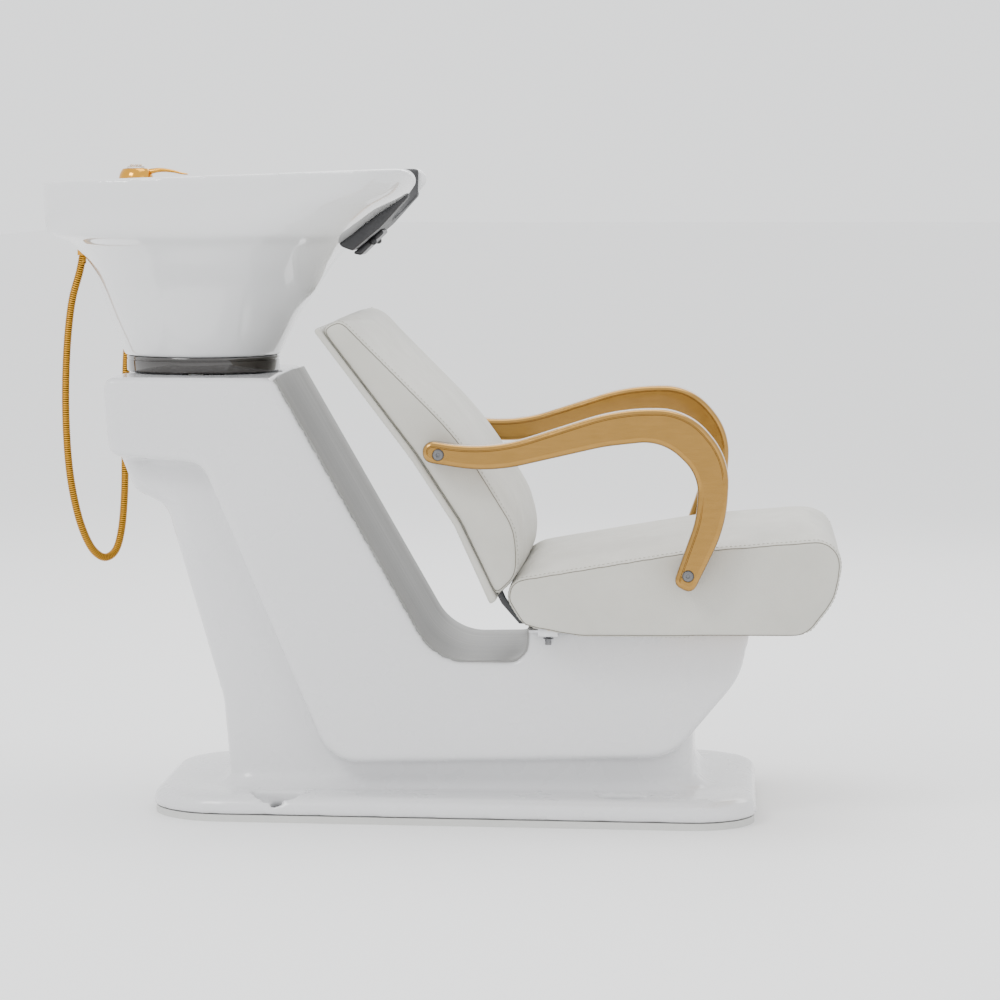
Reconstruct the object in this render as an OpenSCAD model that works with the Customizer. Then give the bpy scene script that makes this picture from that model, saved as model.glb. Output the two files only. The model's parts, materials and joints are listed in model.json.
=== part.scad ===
// Shampoo backwash unit: a tilting ceramic basin on a moulded pedestal, with a seat that slides
// on rails in front of it. +X points to the front of the seat, +Y to the sitter's left and +Z up.
// The origin is on the floor at the centre of the base. Millimetres.

/* [Base] */
// Length of the base plate along X
base_len = 866; // [820:2:900]
// Width of the base at its front end
base_front_w = 540; // [500:5:580]
// Width of the base at its rear end
base_rear_w = 440; // [400:5:480]
// Height of the edge strip that stands on the floor
skirt_h = 10; // [6:1:14]
// Height of the base cover's top face
cover_top = 40; // [34:1:46]
// Radius of the holes for the floor bolts
floor_bolt_r = 7; // [5:0.5:8]
// Distance between floor bolts along X
bolt_span_x = 490; // [460:5:520]
// Distance between floor bolts along Y
bolt_span_y = 380; // [370:5:384]

/* [Pedestal] */
// Half of the width of the raised side form
side_half_w = 190; // [186:1:200]
// Half of the width of the recessed column under it
column_half_w = 150; // [140:1:160]
// Wall thickness of the moulded shell
wall = 6; // [4:0.5:7]
// Height of the top of the pedestal's head
head_top = 626; // [620:1:640]
// Height of the deck that carries the slide rails
deck_z = 232; // [228:1:236]
// Height of the side lips beside the rails
lip_top = 275; // [268:1:275]
// Thickness of the liner on the front slope
liner_t = 4; // [3:0.5:5]

/* [Basin] */
// Distance of the tilt axis from the origin along X, backwards
tilt_back = 374; // [372:1:376]
// Height of the tilt axis
tilt_z = 620; // [618:1:622]
// Radius of the collar under the basin
collar_r = 111; // [108:0.5:112]
// Radius of the opening in the pedestal's head
head_hole_r = 113.5; // [113:0.5:115]
// Height of the deck inside the basin's rim
basin_deck_z = 852; // [846:1:858]
// Radius of the neck notch in the front rim
notch_r = 95; // [85:1:100]

/* [Water] */
// Radius of the drain pipe
drain_r = 20; // [16:1:20]
// Radius of the water inlets
inlet_r = 7.5; // [6:0.5:9]
// Outer diameter of the spray hose
hose_d = 12; // [10:0.5:14]

/* [Seat] */
// Half of the width of the seat and the backrest
seat_half_w = 258; // [250:1:259]
// Travel of the seat along its rails
seat_travel = 140; // [100:5:140]
// Distance between the centre lines of the two rails
rail_span = 220; // [200:5:230]
// Thickness of an armrest across the seat
arm_t = 38; // [30:1:42]
// Gap between an armrest and the upholstery, filled by the spacers
arm_gap = 4; // [2:0.5:6]

/* [Hidden] */
$fn = 64;
fit = 0.05;
tilt_x = -tilt_back;
rail_y = rail_span / 2;
rail_z = deck_z + 1;
steel = [0.55, 0.56, 0.58];
white_shell = [0.93, 0.93, 0.92];
gold = [0.80, 0.62, 0.36];
black = [0.07, 0.07, 0.07];
leather = [0.86, 0.85, 0.81];
ply = [0.72, 0.60, 0.44];

// ---- Outlines with rounded corners: each point is [x, z, corner radius] ----

function unit(v) = v / norm(v);
function turn_to(a, b) = let (d = (b - a) % 360) d > 180 ? d - 360 : d < -180 ? d + 360 : d;
function corner(before, at, after, r, steps) =
    let (
        u = unit(before - at),
        v = unit(after - at),
        half = acos(max(-1, min(1, u * v))) / 2,
        centre = at + unit(u + v) * r / sin(half),
        a0 = atan2((at + u * r / tan(half) - centre)[1], (at + u * r / tan(half) - centre)[0]),
        a1 = atan2((at + v * r / tan(half) - centre)[1], (at + v * r / tan(half) - centre)[0])
    )
    [for (i = [0 : steps]) centre + r * [cos(a0 + turn_to(a0, a1) * i / steps),
                                        sin(a0 + turn_to(a0, a1) * i / steps)]];
function flat(p) = [p[0], p[1]];
function rounded(p, steps = 6) = [
    for (i = [0 : len(p) - 1])
        let (a = flat(p[(i + len(p) - 1) % len(p)]), b = flat(p[i]), c = flat(p[(i + 1) % len(p)]))
        each (p[i][2] > 0 ? corner(a, b, c, p[i][2], steps) : [b])
];
// The line from a to b moved sideways by d, met with the line from b to c moved the same way
function side(v) = [-v[1], v[0]];
function inset_point(a, b, c, d) =
    let (n1 = side(unit(b - a)), n2 = side(unit(c - b)))
    b + d * (n1 + n2) / (1 + n1 * n2);
function inset(p, d) = [
    for (i = [0 : len(p) - 1])
        let (a = flat(p[(i + len(p) - 1) % len(p)]), b = flat(p[i]), c = flat(p[(i + 1) % len(p)]),
             q = inset_point(a, b, c, d),
             bend = side(unit(b - a)) * unit(c - b))
        [q[0], q[1], max(0, p[i][2] - (bend > 0 ? d : -d))]
];
// Extrudes an outline drawn in X and Z, between two places along Y
module across(y0, y1) {
    translate([0, y1, 0]) rotate([90, 0, 0]) linear_extrude(y1 - y0) children();
}
module along_y(x, z, y0, y1, r) {
    translate([x, y1, z]) rotate([90, 0, 0]) cylinder(r = r, h = y1 - y0);
}
module both_sides() {
    children();
    mirror([0, 1, 0]) children();
}
module block(low, high) {
    translate(low) cube(high - low);
}

// ---- Base ----

module base_plan(edge) {
    polygon(rounded([
        [base_len / 2 - edge, -base_front_w / 2 + edge, 90],
        [base_len / 2 - edge, base_front_w / 2 - edge, 90],
        [-base_len / 2 + edge, base_rear_w / 2 - edge, 110],
        [-base_len / 2 + edge, -base_rear_w / 2 + edge, 110]
    ], 10));
}
module at_floor_bolts() {
    for (x = [-1, 1], y = [-1, 1]) translate([x * bolt_span_x / 2, y * bolt_span_y / 2, 0]) children();
}
service_x = [-300, -80];
module base_skirt() {
    color([0.78, 0.78, 0.77]) linear_extrude(skirt_h) difference() {
        base_plan(3);
        base_plan(15);
    }
}
boss_r = 14;
module base_plate() {
    color(steel) difference() {
        union() {
            translate([0, 0, skirt_h - 6]) linear_extrude(6) base_plan(15.5);
            at_floor_bolts() cylinder(r = boss_r, h = skirt_h);
        }
        at_floor_bolts() translate([0, 0, -1]) cylinder(r = floor_bolt_r, h = skirt_h + 2);
        block([service_x[0], -75, 0], [service_x[1], 75, skirt_h + 1]);
    }
}
module floor_pads() {
    color(black) at_floor_bolts() difference() {
        cylinder(r = 20, h = skirt_h - 6);
        translate([0, 0, -1]) cylinder(r = boss_r, h = skirt_h);
    }
}
pocket_r = 38;
module base_cover_form(edge, top) {
    hull() {
        translate([0, 0, skirt_h]) linear_extrude(12) base_plan(edge);
        translate([0, 0, top - 1]) linear_extrude(1) base_plan(edge + 26);
    }
}
module base_cover() {
    color(white_shell) difference() {
        union() {
            difference() {
                base_cover_form(0, cover_top);
                translate([0, 0, -5]) base_cover_form(5, cover_top);
                block([-330, -column_half_w + 2, 0], [350, column_half_w - 2, cover_top + 1]);
            }
            intersection() {
                base_cover_form(0, cover_top);
                at_floor_bolts() translate([0, 0, skirt_h]) cylinder(r = pocket_r + 4, h = 18);
            }
        }
        at_floor_bolts() translate([0, 0, skirt_h + 4]) cylinder(r = pocket_r, h = 60);
        at_floor_bolts() cylinder(r = 13, h = 60);
    }
}

// ---- Pedestal ----

slope_top_x = -248;
side_outline = [
    [-493, head_top, 14], [-485, 515, 18], [-353, 504, 28], [-172, 79, 60], [312, 90, 70],
    [408, 205, 110], [424, lip_top, 6], [109, lip_top, 4], [106, 228, 26], [-20, 226, 80],
    [slope_top_x, head_top, 6]
];
deck_outline = [
    [-493, head_top, 14], [-485, 515, 18], [-353, 504, 28], [-172, 79, 60], [312, 90, 70],
    [408, 205, 60], [414, deck_z, 6], [-20, 226, 80],
    [slope_top_x, head_top, 6]
];
column_outline = [
    [-480, 520, 0], [-457, 462, 30], [-411, 440, 35], [-331, 165, 100], [-318, cover_top, 0],
    [343, cover_top, 0], [343, 125, 0], [0, 170, 0], [-250, 520, 0]
];
liner_line = [
    [slope_top_x, head_top, 0], [-20, 226, 80], [106, 228, 26], [109, lip_top, 0]
];
access_low = [-336, 180];
access_high = [-396, 388];
module access_window(low_y, margin, deep) {
    dir = unit(access_high - access_low);
    out = [-side(dir)[0], -side(dir)[1]];
    face = [access_low - dir * margin, access_high + dir * margin];
    across(-low_y, low_y) polygon([
        face[0] + side(dir) * deep[0], face[1] + side(dir) * deep[0],
        face[1] + side(dir) * deep[1], face[0] + side(dir) * deep[1]
    ]);
}
module pedestal_shell() {
    half = side_half_w;
    color(white_shell) difference() {
        union() {
            across(-half, half) polygon(rounded(side_outline));
            across(-column_half_w, column_half_w) polygon(rounded(column_outline));
        }
        across(-half + wall, half - wall) polygon(rounded(inset(deck_outline, wall + 2)));
        across(-column_half_w + wall, column_half_w - wall) polygon([
            for (p = rounded(column_outline))
                [p[0] + (p[0] < -200 ? 1.4 * wall : -wall),
                 p[1] + (p[1] > 500 ? 20 : p[1] < 60 ? -10 : -wall)]
        ]);
        block([118, -half + 13, rail_z], [440, half - 13, lip_top + 20]);
        across(-half + wall, half - wall) liner_strip(1, liner_t + 0.1);
        translate([tilt_x, 0, head_top - 40]) cylinder(r = head_hole_r, h = 60);
        access_window(66, -12, [-30, 30]);
    }
}
// The liner's line moved into the pedestal by d
function liner_points(d) =
    let (
        n = len(liner_line),
        p = [for (i = [0 : n - 1])
            let (b = flat(liner_line[i]),
                 a = i > 0 ? flat(liner_line[i - 1]) : 2 * b - flat(liner_line[1]),
                 c = i < n - 1 ? flat(liner_line[i + 1]) : 2 * b - flat(liner_line[n - 2]),
                 q = inset_point(a, b, c, -d))
            [q[0], q[1], liner_line[i][2]]]
    )
    [for (i = [0 : n - 1])
        each (p[i][2] > 0 ? corner(flat(p[i - 1]), flat(p[i]), flat(p[i + 1]), p[i][2] + d, 8)
                          : [flat(p[i])])];
module liner_strip(above, thick) {
    upper = liner_points(-above);
    lower = liner_points(thick);
    polygon(concat(upper, [for (i = [len(lower) - 1 : -1 : 0]) lower[i]]));
}
module front_liner() {
    half = side_half_w - wall - 0.2;
    color([0.62, 0.62, 0.61]) across(-half, half) liner_strip(0, liner_t);
}

// ---- Steel inside the pedestal ----

module post(y, low, high) {
    for (side_y = [-y, y]) hull() {
        block([low[0] - 20, side_y - 15, low[1]], [low[0] + 20, side_y + 15, low[1] + 1]);
        block([high[0] - 20, side_y - 15, high[1] - 1], [high[0] + 20, side_y + 15, high[1]]);
    }
}
frame_y = 100;
post_top = deck_z - 12;
module support_frame() {
    color(steel) {
        for (y = [-frame_y, frame_y]) block([-290, y - 15, skirt_h], [300, y + 15, skirt_h + 40]);
        post(frame_y, [-265, skirt_h + 40], [tilt_x, 526]);
        post(frame_y, [150, skirt_h + 40], [150, post_top]);
        post(frame_y, [270, skirt_h + 40], [320, post_top]);
        block([-40, -85, skirt_h], [0, 85, skirt_h + 40]);
        block([200, -85, skirt_h], [240, 85, skirt_h + 40]);
    }
}
plate_z = 526;
module head_plate() {
    color(steel) difference() {
        block([tilt_x - 60, -125, plate_z], [tilt_x + 60, 125, plate_z + 6]);
        translate([tilt_x, 0, plate_z - 1]) cylinder(r = 55, h = 10);
    }
}
bearing_y = 74;
bush_r = 12;
bush_len = 20;
pin_r = 8;
module bearing_block(y) {
    color(steel) difference() {
        union() {
            block([tilt_x - 20, y - bush_len / 2, plate_z + 6], [tilt_x + 20, y + bush_len / 2, tilt_z]);
            along_y(tilt_x, tilt_z, y - bush_len / 2, y + bush_len / 2, 20);
        }
        along_y(tilt_x, tilt_z, y - bush_len, y + bush_len, bush_r);
    }
}
module bearing_block_left() {
    bearing_block(bearing_y);
}
module bearing_block_right() {
    bearing_block(-bearing_y);
}
module tilt_bushes() {
    color([0.85, 0.84, 0.78]) both_sides() difference() {
        along_y(tilt_x, tilt_z, bearing_y - bush_len / 2, bearing_y + bush_len / 2, bush_r);
        along_y(tilt_x, tilt_z, bearing_y - bush_len, bearing_y + bush_len, pin_r + fit);
    }
}

// ---- Seat rails ----

rail_x = [122, 410];
module slide_rail(y) {
    color(steel) difference() {
        union() {
            block([rail_x[0], y - 20, rail_z], [rail_x[1], y + 20, rail_z + 4]);
            block([rail_x[0], y - 6, rail_z + 4], [rail_x[1], y + 6, rail_z + 18]);
            block([rail_x[0], y - 14, rail_z + 18], [rail_x[1], y + 14, rail_z + 28]);
        }
        for (x = [rail_x[0] + 30, rail_x[1] - 30], dy = [-16, 16])
            translate([x, y + dy, rail_z - 1]) cylinder(r = 2.5, h = 6);
    }
}
module slide_rail_left() {
    slide_rail(rail_y);
}
module slide_rail_right() {
    slide_rail(-rail_y);
}
lug_x = 180;
lug_half = 6;
module slide_buffers() {
    color(black) for (x = [lug_x - lug_half - 20.5, lug_x + lug_half + seat_travel + 0.5])
        block([x, -20, rail_z], [x + 20, 20, rail_z + 26]);
}
lock_x = 139;
lock_y = -204;
lock_pitch = 35;
lock_bar_z = 271;
lock_pin_r = 3.6;
module lock_bar() {
    color(steel) difference() {
        block([112, lock_y - 8, lock_bar_z], [300, -side_half_w, lock_bar_z + 3.5]);
        for (i = [0 : 4]) translate([lock_x + i * lock_pitch, lock_y, lock_bar_z - 1])
            cylinder(r = lock_pin_r + 0.4, h = 6);
    }
}

// ---- Rear access cover ----

access_dir = unit(access_high - access_low);
access_out = side(access_dir);
module at_access_screws() {
    for (t = [-3, norm(access_high - access_low) + 3], y = [-75, 75])
        translate([access_low[0] + access_dir[0] * t, y, access_low[1] + access_dir[1] * t])
            rotate([0, atan2(access_out[0], access_out[1]), 0]) children();
}
access_face = 1;
module access_cover() {
    color(white_shell) difference() {
        access_window(84, 14, [access_face, access_face + 4]);
        at_access_screws() cylinder(r = 2.3, h = 40);
    }
}
module access_screws() {
    color([0.75, 0.75, 0.75]) at_access_screws() {
        translate([0, 0, access_face + 4]) cylinder(r = 4.5, h = 2.4);
        translate([0, 0, access_face - 6]) cylinder(r = 2.2, h = 11);
    }
}

// ---- Water and waste ----

drain_x = -200;
inlet_x = -130;
inlet_y = 40;
bracket_z = skirt_h + 40;
module service_bracket() {
    color(steel) difference() {
        block([-240, -frame_y - 15, bracket_z], [-100, frame_y + 15, bracket_z + 4]);
        translate([drain_x, 0, bracket_z - 1]) cylinder(r = drain_r, h = 6);
        for (y = [-inlet_y, inlet_y]) translate([inlet_x, y, bracket_z - 1]) cylinder(r = inlet_r, h = 6);
    }
}
elbow_z = 150;
cup_low = 496;
module drain_pipe() {
    dir = unit([tilt_x - drain_x, 0, cup_low - 30 - elbow_z]);
    tilt = atan2(dir[0], dir[2]);
    reach = norm([tilt_x - drain_x, cup_low - 30 - elbow_z]);
    color([0.5, 0.5, 0.5]) difference() {
        union() {
            translate([drain_x, 0, 2]) cylinder(r = drain_r, h = elbow_z - 2);
            translate([drain_x, 0, bracket_z - 6]) cylinder(r = drain_r + 6, h = 6);
            translate([drain_x, 0, elbow_z]) sphere(r = drain_r + 5);
            translate([drain_x, 0, elbow_z]) rotate([0, tilt, 0]) cylinder(r = drain_r, h = reach);
            translate([tilt_x, 0, cup_low - 30]) sphere(r = drain_r + 5);
            translate([tilt_x, 0, cup_low - 30]) cylinder(r = drain_r, h = 30);
        }
        translate([drain_x, 0, 1]) cylinder(r = drain_r - 3, h = elbow_z);
        translate([drain_x, 0, elbow_z]) sphere(r = drain_r - 2);
        translate([drain_x, 0, elbow_z]) rotate([0, tilt, 0]) cylinder(r = drain_r - 3, h = reach);
        translate([tilt_x, 0, cup_low - 30]) sphere(r = drain_r - 2);
        translate([tilt_x, 0, cup_low - 30]) cylinder(r = drain_r - 3, h = 40);
    }
}
module waste_cup() {
    color(black) translate([tilt_x, 0, cup_low]) difference() {
        cylinder(r = 40, h = 54);
        translate([0, 0, 4]) cylinder(r = 36, h = 60);
        translate([0, 0, -1]) cylinder(r = drain_r - 3, h = 6);
    }
}
module inlet(y) {
    translate([inlet_x, y, 5]) cylinder(r = inlet_r, h = bracket_z + 9);
    translate([inlet_x, y, bracket_z - 6]) cylinder(r = inlet_r + 4, h = 6);
    translate([inlet_x, y, bracket_z + 4]) cylinder(r = 14, h = 8, $fn = 6);
    translate([inlet_x, y, bracket_z + 12]) cylinder(r = 11, h = 40);
}
module inlet_hot() {
    color([0.75, 0.5, 0.4]) inlet(-inlet_y);
}
module inlet_cold() {
    color([0.45, 0.55, 0.7]) inlet(inlet_y);
}

// ---- Basin ----

// Outer stations of the bowl: height, rear, front, half of the width, squareness
bowl_outer = [
    [650, -487, -262, 112, 2], [700, -506, -238, 128, 2.1], [750, -522, -205, 154, 2.2],
    [786, -536, -181, 188, 2.4], [812, -560, -156, 214, 2.6], [828, -590, -139, 236, 3],
    [856, -593, -104, 246, 3.2], [886, -593, -66, 249, 3.4], [935, -593, -46, 250, 3.6]
];
bowl_inner = [
    [690, -452, -280, 90, 2], [712, -466, -262, 118, 2], [760, -476, -232, 152, 2.2],
    [800, -470, -176, 186, 2.4], [830, -462, -140, 210, 2.6], [870, -456, -96, 226, 3],
    [980, -452, -62, 234, 3.4]
];
ring_count = 48;
function power(v, e) = sign(v) * pow(abs(v), e);
function station(s) = [
    for (i = [0 : ring_count - 1])
        let (a = 360 * i / ring_count)
        [(s[1] + s[2]) / 2 + (s[2] - s[1]) / 2 * power(cos(a), 2 / s[4]),
         s[3] * power(sin(a), 2 / s[4]), s[0]]
];
// A closed skin through a list of rings that all have the same number of points
module skin(rings) {
    n = len(rings[0]);
    m = len(rings);
    polyhedron(
        points = [for (r = rings) each r],
        faces = concat(
            [[for (i = [0 : n - 1]) i]],
            [[for (i = [n - 1 : -1 : 0]) (m - 1) * n + i]],
            [for (j = [0 : m - 2], i = [0 : n - 1])
                let (k = (i + 1) % n) each [[j * n + i, (j + 1) * n + i, (j + 1) * n + k],
                                            [j * n + i, (j + 1) * n + k, j * n + k]]]
        ),
        convexity = 6
    );
}
module bowl_outside() {
    skin([for (s = bowl_outer) station(s)]);
}
rim_rear = [-593, 902];
rim_front = [-46, 921];
rim_angle = atan2(rim_front[1] - rim_rear[1], rim_front[0] - rim_rear[0]);
module above_rim() {
    translate([rim_rear[0], 0, rim_rear[1]]) rotate([0, -rim_angle, 0]) block([-40, -300, 0], [640, 300, 90]);
}
notch_z = 935;
module along_x(x0, x1, z, r) {
    translate([x0, 0, z]) rotate([0, 90, 0]) cylinder(r = r, h = x1 - x0);
}
tap = [-488, 110];
spray = [-550, 0];
module basin() {
    color([0.94, 0.94, 0.94]) difference() {
        bowl_outside();
        skin([for (s = bowl_inner) station(s)]);
        intersection() {
            skin([for (z = [basin_deck_z, 980]) station([z, -578, -62, 233, 3.3])]);
            block([-600, -300, basin_deck_z], [-440, 300, 980]);
        }
        above_rim();
        along_x(-170, 0, notch_z, notch_r);
        translate([tilt_x, 0, 640]) cylinder(r = 24, h = 60);
        translate([tap[0], tap[1], 700]) cylinder(r = 10, h = 200);
        translate([tap[0], tap[1], 700]) cylinder(r = 20, h = 90);
        translate([spray[0], spray[1], 700]) cylinder(r = 14, h = 200);
        translate([spray[0], spray[1], 700]) cylinder(r = 26, h = 118);
    }
}
collar_z = [627, 650];
module collar() {
    color(black) translate([tilt_x, 0, collar_z[0]]) difference() {
        cylinder(r = collar_r, h = collar_z[1] - collar_z[0]);
        translate([0, 0, -1]) cylinder(r = collar_r - 14, h = 26);
    }
}
lug_y = 57;
module tilt_plate() {
    color(steel) difference() {
        union() {
            translate([tilt_x, 0, collar_z[1] - 6]) cylinder(r = collar_r - 15.5, h = 6);
            both_sides() {
                block([tilt_x - 16, lug_y - 5, tilt_z], [tilt_x + 16, lug_y + 5, collar_z[1] - 6]);
                along_y(tilt_x, tilt_z, lug_y - 5, lug_y + 5, 16);
            }
        }
        translate([tilt_x, 0, collar_z[1] - 10]) cylinder(r = 24, h = 20);
        both_sides() along_y(tilt_x, tilt_z, lug_y - 10, lug_y + 10, pin_r);
    }
}
module tilt_pins() {
    color([0.75, 0.75, 0.76]) both_sides() {
        along_y(tilt_x, tilt_z, lug_y - 5, bearing_y + bush_len / 2 + 2, pin_r);
    }
}
module waste_outlet() {
    color([0.8, 0.8, 0.8]) difference() {
        union() {
            translate([tilt_x, 0, 690]) cylinder(r = 40, h = 7);
            translate([tilt_x, 0, 540]) cylinder(r = 22, h = 151);
            translate([tilt_x, 0, collar_z[1] - 16]) cylinder(r = 32, h = 10, $fn = 6);
        }
        translate([tilt_x, 0, 530]) cylinder(r = 19, h = 200);
        translate([tilt_x, 0, 692]) cylinder(r = 34, h = 10);
    }
}
module strainer() {
    color([0.8, 0.8, 0.8]) translate([tilt_x, 0, 692.1]) difference() {
        union() {
            cylinder(r = 33, h = 2.5);
            translate([0, 0, 2.5]) cylinder(r = 6, h = 6);
            translate([0, 0, 8.5]) sphere(r = 7);
        }
        for (ring = [0, 1], i = [0 : 7 + 4 * ring])
            rotate(i * 360 / (8 + 4 * ring)) translate([14 + 10 * ring, 0, -1]) cylinder(r = 2.4, h = 5);
    }
}

// ---- Mixer ----

dome_z = 894;
module at_tap(z) {
    translate([tap[0], tap[1], z]) children();
}
module mixer_base() {
    color(gold) {
        at_tap(basin_deck_z) cylinder(r = 27, h = 5);
        at_tap(basin_deck_z + 5) cylinder(r = 22, h = dome_z - basin_deck_z - 5.5);
        at_tap(750) cylinder(r = 9, h = basin_deck_z - 750);
    }
}
module mixer_nut() {
    color(gold) at_tap(778) difference() {
        cylinder(r = 16, h = 12, $fn = 6);
        translate([0, 0, -1]) cylinder(r = 9, h = 14);
    }
}
dome_r = 25.5;
lever_pivot = [tap[0] + 12, dome_z + 17];
lever_pin_r = 1.5;
module mixer_dome() {
    color(gold) at_tap(dome_z) difference() {
        union() {
            cylinder(r = dome_r, h = 9);
            translate([0, 0, 9]) intersection() {
                sphere(r = dome_r);
                cylinder(r = dome_r, h = 20);
            }
        }
        translate([0, 0, 24]) cylinder(r = 13, h = 10);
        block([6, -5.2, 10], [30, 5.2, 24]);
        block([13.5, -5.2, 20], [30, 5.2, 40]);
    }
    color(gold) along_y(lever_pivot[0], lever_pivot[1], tap[1] - 9, tap[1] + 9, lever_pin_r);
}
module mixer_cap() {
    color([0.85, 0.9, 0.95]) at_tap(dome_z + 24) {
        cylinder(r = 12.9, h = 5);
        translate([0, 0, 5]) cylinder(r = 9, h = 3);
    }
}
module mixer_lever() {
    color(gold) translate([0, tap[1], 0]) difference() {
        across(-4.8, 4.8) polygon(rounded([
            [lever_pivot[0] - 4, lever_pivot[1] - 4, 3], [lever_pivot[0] - 4, lever_pivot[1] + 4, 3],
            [lever_pivot[0] + 24, lever_pivot[1] + 9, 40], [tap[0] + 78, lever_pivot[1] + 4, 1.5],
            [tap[0] + 78, lever_pivot[1], 1.5], [lever_pivot[0] + 24, lever_pivot[1] + 2, 40]
        ], 5));
        along_y(lever_pivot[0], lever_pivot[1], -6, 6, lever_pin_r + fit);
    }
}
module handset_holder() {
    color(gold) translate([spray[0], spray[1], 0]) difference() {
        union() {
            translate([0, 0, basin_deck_z]) cylinder(r = 21, h = 4);
            translate([0, 0, 812]) cylinder(r = 13.9, h = basin_deck_z - 812 + 2);
        }
        translate([0, 0, 800]) cylinder(r = 10.6, h = 60);
    }
}
head_tilt = 12;
module at_rose() {
    translate([spray[0] + 40, spray[1], 876]) rotate([0, head_tilt, 0]) children();
}
module handset_body() {
    color(gold) {
        translate([spray[0], spray[1], 806]) cylinder(r = 8, h = 51);
        translate([spray[0], spray[1], basin_deck_z + 4.1]) cylinder(r = 13, h = 33);
        hull() {
            translate([spray[0], spray[1], basin_deck_z + 36]) cylinder(r = 13, h = 4, $fn = 32);
            at_rose() cylinder(r = 23, h = 8, $fn = 32);
        }
    }
}
module handset_rose() {
    color(black) at_rose() translate([0, 0, -6]) cylinder(r = 20, h = 6);
}
module neck_rest() {
    color(black) {
        difference() {
            across(-100, 100) polygon([
                [-78, 900], [-66, 890], [-66, 880], [-104, 838], [-146, 803], [-160, 808], [-176, 820]
            ]);
            bowl_outside();
            along_x(-200, 0, notch_z, notch_r - 7);
            above_rim();
        }
        difference() {
            along_x(-128, -66, notch_z, notch_r);
            along_x(-130, -60, notch_z, notch_r - 7);
            above_rim();
            block([-200, -130, notch_z - 10], [0, 130, notch_z + notch_r + 10]);
        }
    }
}
module neck_rest_clip() {
    color(black) {
        across(-34, 34) polygon(rounded([
            [-110, 833, 0], [-146, 803, 0], [-154, 798, 2], [-140, 795, 4], [-106, 828, 3]
        ], 3));
        both_sides() along_y(-121, 815, 34, 42, 5);
    }
}

// ---- Hose: it hangs in a loop behind the pedestal from the spray's hole to the mixer ----

hose_route = [
    [-550, 0, 794], [-555, 0, 770], [-566, 0, 730], [-573, 1, 680], [-577, 2, 620], [-578, 4, 560],
    [-576, 8, 500], [-571, 14, 450], [-562, 24, 402], [-550, 38, 366], [-538, 52, 349], [-527, 66, 346],
    [-517, 80, 357], [-511, 92, 386], [-508, 100, 430], [-507, 104, 480], [-507, 106, 540],
    [-506, 108, 600], [-503, 110, 660], [-495, 110, 706], [-488, 110, 736]
];
hose_sides = 10;
// A point of the smooth curve through b and c, at t from 0 to 1
function spline(a, b, c, d, t) =
    0.5 * (2 * b + (c - a) * t + (2 * a - 5 * b + 4 * c - d) * t * t
           + (3 * b - a - 3 * c + d) * t * t * t);
function along(p, parts) = let (n = len(p)) [
    for (i = [0 : n - 2], j = [0 : parts - 1])
        spline(p[max(0, i - 1)], p[i], p[i + 1], p[min(n - 1, i + 2)], j / parts),
    p[n - 1]
];
function across_y(v) = unit(cross([0, 1, 0], v));
function tube_rings(p, r) = let (n = len(p)) [
    for (i = [0 : n - 1])
        let (
            dir = unit(p[min(n - 1, i + 1)] - p[max(0, i - 1)]),
            e1 = across_y(dir),
            e2 = cross(dir, e1)
        )
        [for (k = [0 : hose_sides - 1]) p[i] + r * (e1 * cos(360 * k / hose_sides)
                                                   + e2 * sin(360 * k / hose_sides))]
];
module hose() {
    rings = tube_rings(along(hose_route, 2), hose_d / 2);
    color(gold) skin([for (i = [0 : len(rings) - 1]) rings[len(rings) - 1 - i]]);
}
module hose_nuts() {
    color(gold) {
        translate([spray[0], spray[1], 794]) cylinder(r = 8, h = 11.9);
        at_tap(736) cylinder(r = 9, h = 14);
    }
}

// ---- Seat carriage ----

runner_x = [128, 398];
module runner(y) {
    block([runner_x[0], y - 19, rail_z + 30], [runner_x[1], y + 19, rail_z + 36]);
    for (s = [-1, 1]) {
        block([runner_x[0], y + s * 17 - 2, rail_z + 10], [runner_x[1], y + s * 17 + 2, rail_z + 30]);
        block([runner_x[0], y + s * 12 - 3, rail_z + 10], [runner_x[1], y + s * 12 + 3, rail_z + 14]);
    }
}
pan_z = 278;
module carriage() {
    color(steel) {
        for (y = [-rail_y, rail_y]) runner(y);
        for (x = [150, 350]) block([x, -rail_y - 30, rail_z + 36], [x + 40, rail_y + 30, pan_z]);
        block([lug_x - lug_half, -15, rail_z + 6], [lug_x + lug_half, 15, rail_z + 36]);
    }
}
module glide_pads() {
    color([0.9, 0.9, 0.86]) for (x = [runner_x[0] + 6, runner_x[1] - 36], y = [-rail_y, rail_y])
        block([x, y - 12, rail_z + 28 + fit], [x + 30, y + 12, rail_z + 30]);
}

// ---- Seat ----

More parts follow.
